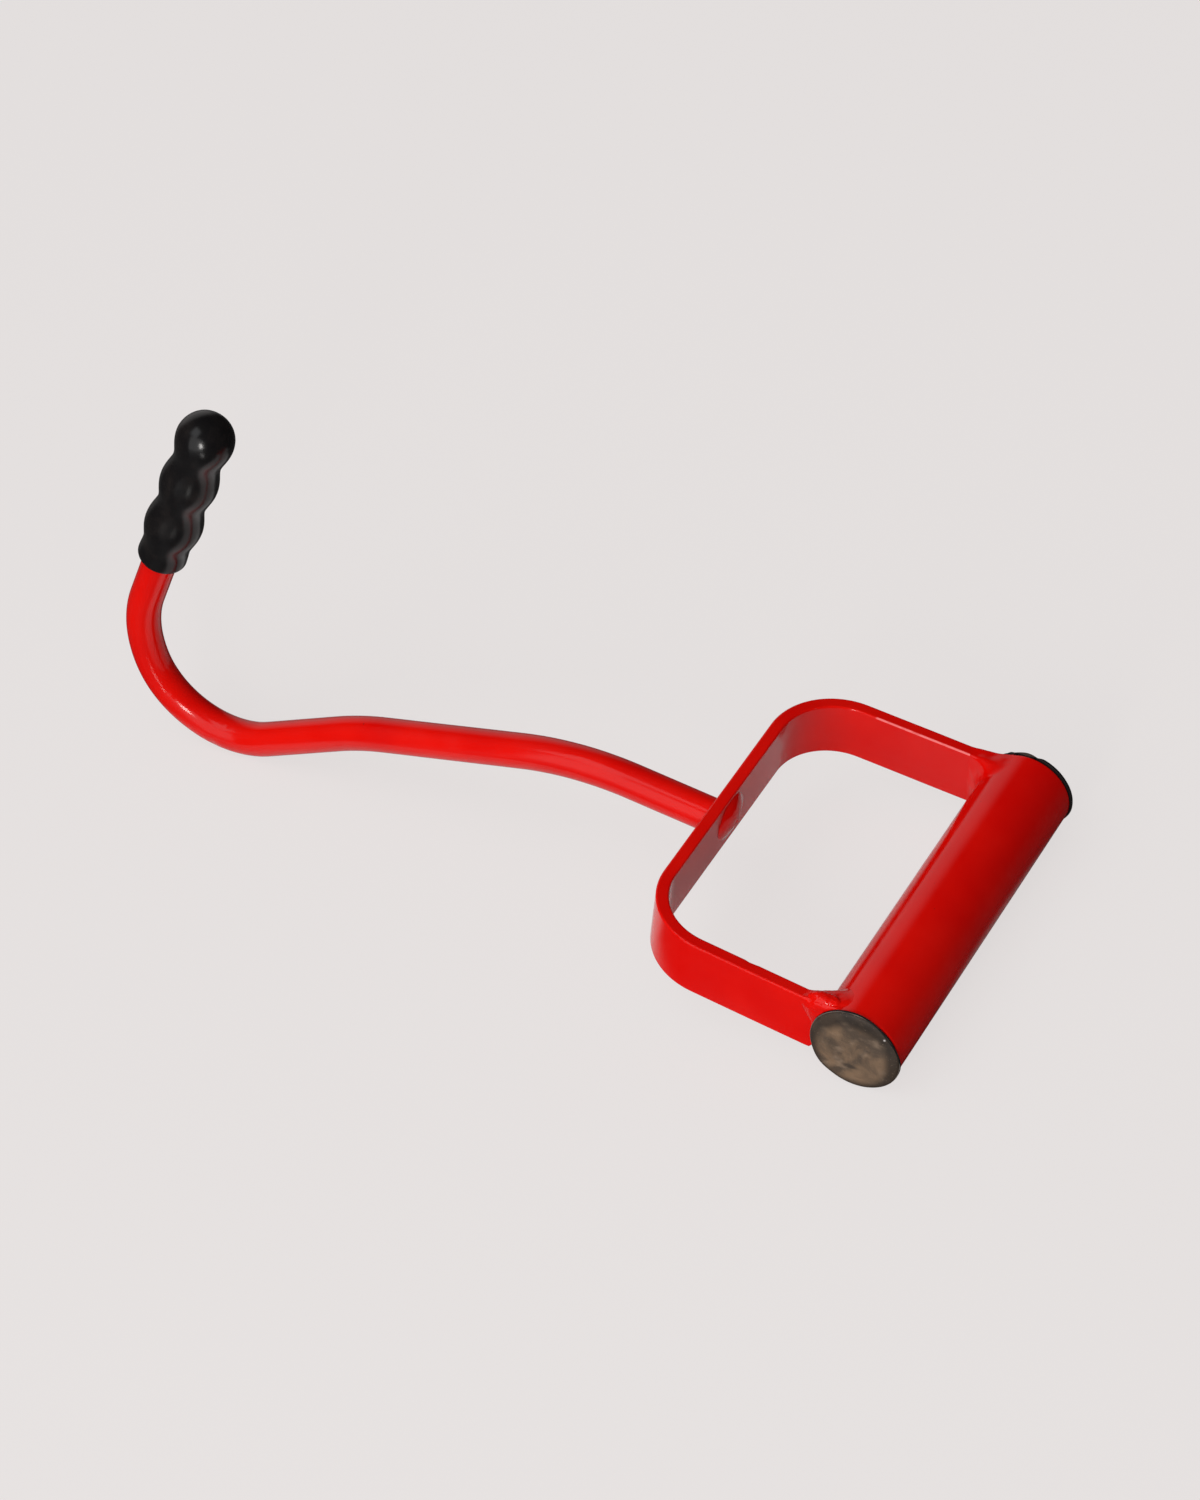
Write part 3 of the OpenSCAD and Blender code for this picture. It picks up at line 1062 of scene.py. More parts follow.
def grown(tree: bpy.types.NodeTree, seed_mesh: bpy.types.Mesh, sizes: dict[str, object]) -> bpy.types.Mesh:
    """Runs a geometry tree once and keeps what it makes as a plain mesh.

    Args:
        tree: The tree.
        seed_mesh: What the tree starts from, which is used up.
        sizes: Value of each named input.

    Returns:
        The mesh.
    """
    holder = bpy.data.objects.new(tree.name, seed_mesh)
    bpy.context.scene.collection.objects.link(holder)
    modifier = holder.modifiers.new(tree.name, "NODES")
    modifier.node_group = tree
    for item in tree.interface.items_tree:
        if item.in_out == "INPUT" and item.name in sizes:
            modifier[item.identifier] = sizes[item.name]
    seen = bpy.context.evaluated_depsgraph_get()
    made = bpy.data.meshes.new_from_object(holder.evaluated_get(seen))
    holder.modifiers.clear()
    bpy.data.objects.remove(holder)
    bpy.data.meshes.remove(seed_mesh)
    return made


# Pieces


@dataclass
class Piece:
    """A piece of the hook that stands for one CAD node.

    Args:
        name: Name of the finished object.
        node: CAD node that it stands for.
        slot: Material slot of the record; not used.
        body: Body that it rides on.
    """

    name: str
    node: str
    slot: Slot
    body: Body = Body.FRAME

    def settle(self, made: bpy.types.Object, material: bpy.types.Material) -> bpy.types.Object:
        """Dresses the finished object, ties it to its body and hides the CAD node that it stands for.

        Args:
            made: The object.
            material: Its finish.

        Returns:
            The same object.
        """
        made.data.materials.clear()
        made.data.materials.append(material)
        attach(made, self.body.value)
        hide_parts(self.node)
        return made


@dataclass
class GripTube(Piece):
    """Steel tube of the grip, open at both ends.

    Args:
        radius: Outer radius.
        wall: Thickness of the wall.
        length: Length of the tube.
        rim_round: Rounding of the outer rims, and three times that of the inner ones.
        rim_steps: Steps along each rounding.
        sides: Points round the tube.
        spacing: Longest face along it.
        waver: How its surface wanders.
    """

    name: str = "painted_grip_tube"
    node: str = "grip_tube"
    slot: Slot = Slot.PAINT
    radius: float = 15.875 * MM
    wall: float = 2.0 * MM
    length: float = 139.7 * MM
    rim_round: float = 0.9 * MM
    rim_steps: int = 8
    sides: int = 128
    spacing: float = 2.5 * MM
    waver: Waver = Waver(0.02 * MM, 17 * MM, 4.0)

    @property
    def bore(self) -> float:
        """Radius of the bore."""
        return self.radius - self.wall

    def build(self, place: HandleFrame, enamel: bpy.types.Material) -> bpy.types.Object:
        """Turns the tube's wall about the grip's axis.

        Args:
            place: The handle frame.
            enamel: The paint.

        Returns:
            The finished object.
        """
        half = self.length / 2
        wall = rounded([
            Corner(self.bore, -half, self.rim_round / 3),
            Corner(self.radius, -half, self.rim_round),
            Corner(self.radius, half, self.rim_round),
            Corner(self.bore, half, self.rim_round / 3),
        ], self.rim_steps)
        shell = Shell()
        shell.revolve(divided(wall, self.spacing), self.sides, ALONG_GRIP)
        shell.waver(self.waver)
        return self.settle(shell.finish(self.name, place.matrix), enamel)


@dataclass
class EndPlug(Piece):
    """Ribbed plug pressed into one end of the tube.

    Args:
        end: End of the grip that it closes.
        rim_radius: Radius of the rim that stands out past the tube.
        edge_height: Height of the straight edge above the tube's end.
        rise: Rise of the face from its edge to its flat middle.
        shoulder: Width of the rounded shoulder.
        lip: Rounding between the face and the straight edge.
        face_steps: Steps along the shoulder.
        back: Chamfer behind the edge.
        dust_drop: How far below the edge's height the dust starts.
        floor: Thickness of the floor inside the tube.
        stem_length: Length of the stem inside the tube.
        stem_radius: Outer radius of the stem.
        stem_wall: Wall of the stem.
        stem_bevel: Bevel on the stem's end.
        rib_radius: Radius over the ribs.
        rib_width: Width of a rib.
        rib_root: How deep a rib sits in the stem.
        ribs: Ribs round the stem.
        sides: Points round the plug.
        waver: How its surface wanders.
        dents: Its dents and bumps.
        marks: Smudges, and pale dots of painted highlight, on its face.
    """

    name: str = "dusty_plug"
    node: str = "end_plug"
    slot: Slot = Slot.PLASTIC
    end: End = End.FAR
    rim_radius: float = 16.625 * MM
    edge_height: float = 1.0 * MM
    rise: float = 1.3 * MM
    shoulder: float = 5.0 * MM
    lip: float = 0.30 * MM
    face_steps: int = 10
    back: float = 0.2 * MM
    dust_drop: float = 0.20 * MM
    floor: float = 1.5 * MM
    stem_length: float = 16.0 * MM
    stem_radius: float = 13.025 * MM
    stem_wall: float = 2.4 * MM
    stem_bevel: float = 0.6 * MM
    rib_radius: float = 13.825 * MM
    rib_width: float = 1.4 * MM
    rib_root: float = 0.1 * MM
    ribs: int = 3
    sides: int = 144
    waver: Waver = Waver(0.05 * MM, 7 * MM, 11.0)
    dents: tuple[Dent, ...] = ()
    marks: tuple[Mark, ...] = ()

    def face(self) -> list[Spot]:
        """Outline of the plug's face.

        Returns:
            Its points, from its middle to the straight edge of its rim.
        """
        steps, lip = self.face_steps, self.lip
        land = self.rim_radius - self.shoulder
        top = self.edge_height + self.rise
        outline = [Spot(0, top), Spot(land * 0.5, top)]
        for step in range(steps + 1):
            angle = math.pi / 2 * step / steps
            across = land + (self.shoulder - lip) * math.sin(angle)
            outline.append(Spot(across, self.edge_height + self.rise * math.cos(angle)))
        # Wear on the lip, which the finish draws as pale scuffs and painted highlight.
        outline.append(Spot(self.rim_radius - lip / 3, self.edge_height - lip / 4, 1.0))
        outline.append(Spot(self.rim_radius, self.edge_height - lip, 0.4))
        return outline

    def build(self, place: HandleFrame, half_grip: float) -> bpy.types.Object:
        """Turns the plug about the grip's axis and adds its ribs.

        Args:
            place: The handle frame.
            half_grip: Distance from the grip's middle to the tube's end.

        Returns:
            The finished object.
        """
        seat = self.end.mirrored @ Matrix.Translation((0, half_grip, 0)) @ ALONG_GRIP
        hollow = self.stem_radius - self.stem_wall
        outline = self.face() + [
            Spot(self.rim_radius, self.back),
            Spot(self.rim_radius - self.back, 0),
            Spot(self.stem_radius, 0),
            Spot(self.stem_radius, -self.stem_length + self.stem_bevel),
            Spot(self.stem_radius - self.stem_bevel, -self.stem_length),
            Spot(hollow, -self.stem_length),
            Spot(hollow, -self.floor),
            Spot(0, -self.floor),
        ]
        shell = Shell()
        shell.revolve(outline, self.sides, seat, closed=False)
        shell.waver(self.waver, more_seed=self.end.value)
        shell.press(self.dents)
        made = shell.finish(self.name, place.matrix)
        self.add_ribs(made, place.matrix @ seat)
        finish = DustyPlastic(
            centre=place.matrix @ Vector((0, self.end.value * half_grip, 0)),
            face_y=self.edge_height - self.dust_drop,
            radius=self.rim_radius,
            tilt=place.tilt,
            marks=self.marks,
            seed=self.end.value * 3.0,
        )
        return self.settle(made, finish.material(self.name + "_finish"))

    def add_ribs(self, plug: bpy.types.Object, seat: Matrix) -> None:
        """Joins the stem's ribs to the plug.

        Args:
            plug: The plug so far.
            seat: Puts the stem's axis on Z, with the tube's end at zero.
        """
        ribs = grown(rib_tree(), bpy.data.meshes.new("stem"), {
            "Ribs": self.ribs,
            "Pitch": self.stem_length / (self.ribs + 1),
            "Width": self.rib_width,
            "Radius": self.stem_radius - self.rib_root,
            "Height": self.rib_radius - self.stem_radius + self.rib_root,
        })
        ribs.transform(seat)
        both = bmesh.new()
        both.from_mesh(plug.data)
        both.from_mesh(ribs)
        bmesh.ops.recalc_face_normals(both, faces=both.faces)
        both.to_mesh(plug.data)
        both.free()
        bpy.data.meshes.remove(ribs)


@dataclass
class HookRod(Piece):
    """Round bar bent into the shank and the hook, down to its point.

    Args:
        radius: Radius of the bar.
        start_x: Where the bar starts, on the inner face of the yoke's back.
        in_yoke: Length inside the yoke.
        shank: Straight run from the yoke to the first bend.
        first_bend: First bend, downwards.
        middle: Straight run between the first and the second bend.
        second_bend: Second bend, downwards.
        lower: Straight run from the second bend to the belly.
        belly: Tight bend at the bottom of the hook, upwards.
        rise: Wider bend that leads up to the guard.
        bare: Straight run from the last bend to the guard's rim.
        in_guard: Length inside the guard, with the point.
        point_length: Length of the tapered point.
        point_radius: Radius of the point's rounded end.
        paint_fillet: Length of the paint that fills the corner at the yoke.
        paint_flare: How far that paint widens the bar, as a share of its radius.
        sides: Points round the bar.
        spacing: Distance from ring to ring on plain bar.
        fine: The same at the yoke and at the point.
        waver: How its surface wanders.
        dents: Its dents and bumps.
    """

    name: str = "painted_hook_bar"
    node: str = "hook_rod"
    slot: Slot = Slot.PAINT
    radius: float = 6.35 * MM
    start_x: float = -83.1 * MM
    in_yoke: float = 4.6 * MM
    shank: float = 31.7 * MM
    first_bend: Stretch = Stretch(radius=120 * MM, turn=21.5)
    middle: float = 58.4 * MM
    second_bend: Stretch = Stretch(radius=110 * MM, turn=11)
    lower: float = 33.4 * MM
    belly: Stretch = Stretch(radius=34 * MM, turn=-97.6)
    rise: Stretch = Stretch(radius=48 * MM, turn=-39.4)
    bare: float = 23.1 * MM
    in_guard: float = 64.0 * MM
    point_length: float = 36.0 * MM
    point_radius: float = 1.5 * MM
    paint_fillet: float = 0.9 * MM
    paint_flare: float = 0.10
    sides: int = 64
    spacing: float = 0.9 * MM
    fine: float = 0.15 * MM
    waver: Waver = Waver(0.07 * MM, 18 * MM, 2.0)
    dents: tuple[Dent, ...] = ()

    @property
    def stretches(self) -> list[Stretch]:
        """The bar's stretches in order, from its end in the yoke."""
        return [
            Stretch(length=self.in_yoke + self.shank),
            self.first_bend,
            Stretch(length=self.middle),
            self.second_bend,
            Stretch(length=self.lower),
            self.belly,
            self.rise,
            Stretch(length=self.bare + self.in_guard),
        ]

    @property
    def length(self) -> float:
        """Length of the bar along its axis."""
        return sum(stretch.reach for stretch in self.stretches)

    def station(self, distance: float) -> Station:
        """Finds the station at a place on the bar.

        Args:
            distance: Distance from the bar's end in the yoke.

        Returns:
            The station there.
        """
        here = Station(self.start_x, 0, 0)
        for stretch in self.stretches:
            if distance <= stretch.reach or stretch is self.stretches[-1]:
                return stretch.follow(here, distance)
            here = stretch.follow(here, stretch.reach)
            distance -= stretch.reach
        return here

    @property
    def guard_seat(self) -> Station:
        """Station of the guard's rim."""
        return self.station(self.length - self.in_guard)

    def share(self, distance: float) -> float:
        """Radius of the bar at a distance along it, as a share of its full radius.

        Args:
            distance: Distance from the bar's end in the yoke.

        Returns:
            1 on plain bar, more in the paint that fills the corner at the yoke, less at the point.
        """
        past_yoke = distance - self.in_yoke
        if 0 <= past_yoke < self.paint_fillet:
            return 1 + self.paint_flare * (1 - past_yoke / self.paint_fillet) ** 2
        left = self.length - distance
        if left < self.point_radius:
            least_square = 0.0004
            square = 1 - (1 - left / self.point_radius) ** 2
            return math.sqrt(max(least_square, square)) * self.point_radius / self.radius
        if left < self.point_length:
            taper = (left - self.point_radius) / (self.point_length - self.point_radius)
            return (self.point_radius + (self.radius - self.point_radius) * taper) / self.radius
        return 1.0

    def places(self) -> list[float]:
        """Distances at which the bar gets a ring of points.

        Returns:
            The distances in order, crowded at the yoke and at the point.
        """
        yoke_rings, point_rings = 8, 12
        near_yoke = [self.in_yoke + self.fine * step for step in range(yoke_rings)]
        near_point = [self.length - self.fine * step for step in range(point_rings)]
        count = round(self.length / self.spacing)
        plain = [self.length * step / count for step in range(count)]
        crowded = near_yoke + near_point
        plain = [d for d in plain if all(abs(d - c) > 2 * self.fine for c in crowded)]
        return sorted(plain + crowded)

    def build(self, place: HandleFrame, enamel: bpy.types.Material) -> bpy.types.Object:
        """Sweeps the bar along its path and presses its dents.

        Args:
            place: The handle frame.
            enamel: The paint.

        Returns:
            The finished object.
        """
        path = bpy.data.meshes.new("hook_path")
        places = self.places()
        stations = [self.station(d) for d in places]
        points = [(s.x, 0, s.z) for s in stations]
        path.from_pydata(points, [(i, i + 1) for i in range(len(points) - 1)], [])
        share = path.attributes.new("share", "FLOAT", "POINT")
        share.data.foreach_set("value", [self.share(d) for d in places])
        swept = grown(bar_tree(), path, {
            "Radius": self.radius,
            "Sides": self.sides,
            "Waver": self.waver.height,
            "Waver size": self.waver.size,
            "Seed": self.waver.seed,
            "Finish": enamel,
        })
        shell = Shell()
        shell.mesh.from_mesh(swept)
        bpy.data.meshes.remove(swept)
        shell.press(self.dents)
        return self.settle(shell.finish(self.name, place.matrix), enamel)


@dataclass
class Yoke(Piece):
    """U of flat bar, welded to the tube by its arms.

    Args:
        height: Height of the flat bar.
        thickness: Thickness of the flat bar.
        edge_round: Rounding of its edges under the paint.
        edge_steps: Steps along each rounding.
        depth: From the grip's axis to the outer face of the yoke's back.
        corner_radius: Outer radius of the two corners.
        half_width: Y of an arm's outer face, at the grip's axis.
        splay: Angle by which each arm opens towards the grip.
        tube_radius: Radius of the tube that the arms meet.
        hole_radius: Radius of the hole for the hook's bar.
        end_round: Rounding of an arm's lower corner at the tube.
        end_x: Where that corner ends.
        spacing: Distance from ring to ring, and longest stretch of the section.
        waver: How its surface wanders.
        dents: Its dents and bumps.
    """

    name: str = "painted_yoke"
    node: str = "yoke"
    slot: Slot = Slot.PAINT
    height: float = 22.4 * MM
    thickness: float = 4.6 * MM
    edge_round: float = 0.7 * MM
    edge_steps: int = 5
    depth: float = 87.7 * MM
    corner_radius: float = 26.2 * MM
    half_width: float = 69.05 * MM
    splay: float = 1.6
    tube_radius: float = 15.875 * MM
    hole_radius: float = 6.45 * MM
    end_round: float = 1.5 * MM
    end_x: float = -16.0 * MM
    spacing: float = 1.6 * MM
    waver: Waver = Waver(0.05 * MM, 24 * MM, 7.0)
    dents: tuple[Dent, ...] = ()

    @property
    def corner(self) -> Vector:
        """Centre of the far corner's bend."""
        angle = math.radians(self.splay)
        x = -self.depth + self.corner_radius
        y = self.half_width + (x * math.sin(angle) - self.corner_radius) / math.cos(angle)
        return Vector((x, y, 0))

    def outer_face(self, x: float) -> float:
        """Y of the far arm's outer face at an x."""
        return self.half_width + x * math.tan(math.radians(self.splay))

    def edged(self, low: float, steps: int, spacing: float) -> list[Spot]:
        """Section of the flat bar, with its edges rounded.

        Args:
            low: Height of its lower face.
            steps: Steps along each rounding.
            spacing: Longest stretch between points.

        Returns:
            Depth below the outer face, and height, of each point.
        """
        top = self.height / 2
        corners = [(0, top), (self.thickness, top), (self.thickness, low), (0, low)]
        return divided(rounded([Corner(a, z, self.edge_round) for a, z in corners], steps), spacing)

    def bend_places(self) -> list[tuple[Vector, Vector]]:
        """Goes round the outer face, from the back's middle to the end of the far corner.

        Returns:
            Places on the outer face and its outward normals.
        """
        centre = self.corner
        count = round(centre.y / self.spacing)
        out = Vector((-1, 0, 0))
        places = [(Vector((-self.depth, centre.y * step / count, 0)), out) for step in range(count)]
        turn = math.radians(90 - self.splay)
        count = round(turn * self.corner_radius / self.spacing)
        for step in range(count + 1):
            angle = math.pi - turn * step / count
            out = Vector((math.cos(angle), math.sin(angle), 0))
            places.append((centre + out * self.corner_radius, out))
        return places

    def arm_end(self, depth: float, height: float) -> Vector:
        """Where a line of the arm meets the tube, just below its surface.

        Args:
            depth: Depth of the line below the outer face.
            height: Height of the line.

        Returns:
            The place on the far arm.
        """
        sink = 0.15 * MM
        x = sink - math.sqrt(self.tube_radius ** 2 - height ** 2)
        return Vector((x, self.outer_face(x) - depth / math.cos(math.radians(self.splay)), height))

    def wear_and_highlight(self, point: Vector, spot: Spot) -> float:
        """Works out the edge wear, and marks the far arm's inner top edge for a painted highlight line.

        Args:
            point: A point of the bar.
            spot: Its place in the bar's section.

        Returns:
            2 along the far arm's straight inner top edge, where the paint draws a painted highlight line,
            and otherwise the wear of the section there.
        """
        past_corner, short_of_weld = 4 * MM, 2 * MM
        turn = math.sqrt(0.5) * self.edge_round
        rim = Vector((self.thickness - self.edge_round + turn, self.height / 2 - self.edge_round + turn))
        on_rim = (Vector((spot.across, spot.along)) - rim).length < self.edge_round * 0.5
        straight = self.corner.x + past_corner < point.x < self.end_x - short_of_weld
        # Painted highlight: the far arm's straight inner top edge gets the mark 2, which is drawn as a
        # pale pink line.
        return 2.0 if on_rim and straight and point.y > 0 else spot.edge

    def lifted(self, x: float, height: float) -> float:
        """Lifts a line of the arm where its lower corner is rounded off.

        Args:
            x: Place along the arm.
            height: Height of the line on plain bar.

        Returns:
            Its height there.
        """
        rounding = self.end_round
        past = min(x - (self.end_x - rounding), rounding)
        if past <= 0:
            return height
        lift = rounding - math.sqrt(rounding ** 2 - past ** 2)
        top = self.height / 2
        return height + lift * (top - height) / (2 * top)

    def build(self, place: HandleFrame, enamel: bpy.types.Material) -> bpy.types.Object:
        """Sweeps the flat bar round the U, drills it for the hook's bar and presses its dents.

        Args:
            place: The handle frame.
            enamel: The paint.

        Returns:
            The finished object.
        """
        shell = Shell()
        section = self.edged(-self.height / 2, self.edge_steps, self.spacing)
        half = [[start - out * s.across + Vector((0, 0, s.along)) for s in section]
                for start, out in self.bend_places()]
        count = round((self.end_x - self.corner.x) / self.spacing)
        last = half[-1]
        for step in range(1, count + 1):
            share = step / count
            ring = []
            for spot, start in zip(section, last):
                guess = start.lerp(self.arm_end(spot.across, spot.along), share)
                height = self.lifted(guess.x, spot.along)
                end = self.arm_end(spot.across, height)
                ring.append(Vector((*start.lerp(end, share).xy, height)))
            half.append(ring)
        mirrored = [[Vector((p.x, -p.y, p.z)) for p in ring] for ring in reversed(half[1:])]
        rings = []
        for line in mirrored + half:
            rings.append([shell.point(p, self.wear_and_highlight(p, spot)) for p, spot in zip(line, section)])
        shell.skin(rings)
        shell.lid(rings[0])
        shell.lid(rings[-1])
        shell.waver(self.waver)
        shell.press(self.dents)
        made = shell.finish(self.name, place.matrix)
        self.drill(made, place)
        return self.settle(made, enamel)

    def drill(self, made: bpy.types.Object, place: HandleFrame) -> None:
        """Cuts the hole for the hook's bar.

        Args:
            made: The yoke.
            place: The handle frame.
        """
        cutter = Shell()
        reach, sides = 3 * self.thickness, 64
        ends = Spot(self.hole_radius, -reach), Spot(self.hole_radius, reach)
        across = Matrix.Translation((-self.depth, 0, 0)) @ Matrix.Rotation(math.radians(90), 4, "Y")
        cutter.revolve([Spot(0, -reach), *ends, Spot(0, reach)], sides, across, closed=False)
        drill = cutter.finish("drill", place.matrix)
        cut = made.modifiers.new("hole", "BOOLEAN")
        cut.operation = "DIFFERENCE"
        cut.solver = "EXACT"
        cut.object = drill
        seen = bpy.context.evaluated_depsgraph_get()
        drilled = bpy.data.meshes.new_from_object(made.evaluated_get(seen))
        made.modifiers.clear()
        made.data = drilled
        bpy.data.objects.remove(drill)


@dataclass
class TipGuard(Piece):
    """Rubber guard of three bulbs, pushed over the point.

    Args:
        bore: Radius of the bore.
        bulb_radius: Outer radius at a bulb.
        neck_radius: Outer radius at a neck.
        rim_radius: Outer radius at the open rim.
        pitch: Distance from one bulb's middle to the next.
        bulbs: Bulbs, with the ball at the end.
        collar: From the rim to the first neck.
        bore_depth: Depth of the bore.
        lip: Rounding of the open rim.
        crown_steps: Steps along the ball's dome.
        sides: Points round the guard.
        spacing: Distance from ring to ring.
        longest: Longest face inside the bore.
        sharp: Angle past which an edge stays sharp.
        waver: How its surface wanders.
    """

    name: str = "rubber_guard"
    node: str = "tip_guard"
    slot: Slot = Slot.RUBBER
    body: Body = Body.GUARD
    bore: float = 6.55 * MM
    bulb_radius: float = 10.55 * MM
    neck_radius: float = 8.75 * MM
    rim_radius: float = 9.05 * MM
    pitch: float = 23.4 * MM
    bulbs: int = 3
    collar: float = 6.6 * MM
    bore_depth: float = 64.2 * MM
    lip: float = 0.5 * MM
    crown_steps: int = 14
    sides: int = 96
    spacing: float = 0.9 * MM
    longest: float = 2 * MM
    sharp: float = 60.0
    waver: Waver = Waver(0.08 * MM, 9 * MM, 3.0)

    @property
    def ball(self) -> float:
        """Distance from the rim to the last bulb's middle."""
        return self.collar + (self.bulbs - 0.5) * self.pitch

    def radius(self, distance: float) -> float:
        """Outer radius of the guard.

        Args:
            distance: Distance from the rim.

        Returns:
            The radius there.
        """
        if distance < self.collar:
            wave = (1 + math.cos(math.pi * distance / self.collar)) / 2
            return self.neck_radius + (self.rim_radius - self.neck_radius) * wave
        if distance < self.ball:
            wave = (1 - math.cos(math.tau * (distance - self.collar) / self.pitch)) / 2
            return self.neck_radius + (self.bulb_radius - self.neck_radius) * wave
        return math.sqrt(max(0.0, self.bulb_radius ** 2 - (distance - self.ball) ** 2))

    def build(self, place: HandleFrame, seat: Station) -> bpy.types.Object:
        """Turns the guard about the bar's axis.

        Args:
            place: The handle frame.
            seat: Station of the guard's rim.

        Returns:
            The finished object.
        """
        lip = self.lip
        count = round(self.ball / self.spacing)
        outline = [
            Spot(0, self.bore_depth), Spot(self.bore * 0.7, self.bore_depth),
            Spot(self.bore, self.bore_depth - lip), Spot(self.bore, lip * 1.2),
            Spot(self.bore + lip * 0.3, lip * 0.3), Spot(self.bore + lip, 0),
            Spot(self.rim_radius - lip, 0), Spot(self.rim_radius - lip * 0.3, lip * 0.3),
        ]
        for step in range(count):
            distance = lip + (self.ball - lip) * step / count
            outline.append(Spot(self.radius(distance), distance))
        for step in range(self.crown_steps):
            angle = math.pi / 2 * step / self.crown_steps
            across = self.bulb_radius * math.cos(angle)
            outline.append(Spot(across, self.ball + self.bulb_radius * math.sin(angle)))
        outline.append(Spot(0, self.ball + self.bulb_radius))
        shell = Shell()
        shell.revolve(divided(outline, self.longest, closed=False), self.sides, seat.matrix, closed=False)
        shell.waver(self.waver)
        return self.settle(shell.finish(self.name, place.matrix, self.sharp), BlackRubber().material())


class WeldLeg(NamedTuple):
    """Reach of a weld from the corner that it fills: up the arm, and round the tube."""

    up_arm: float
    round_tube: float


class Blob(NamedTuple):
    """A rounded lump of weld: its middle, and its reach along each axis."""

    middle: tuple[float, float, float]
    reach: tuple[float, float, float]


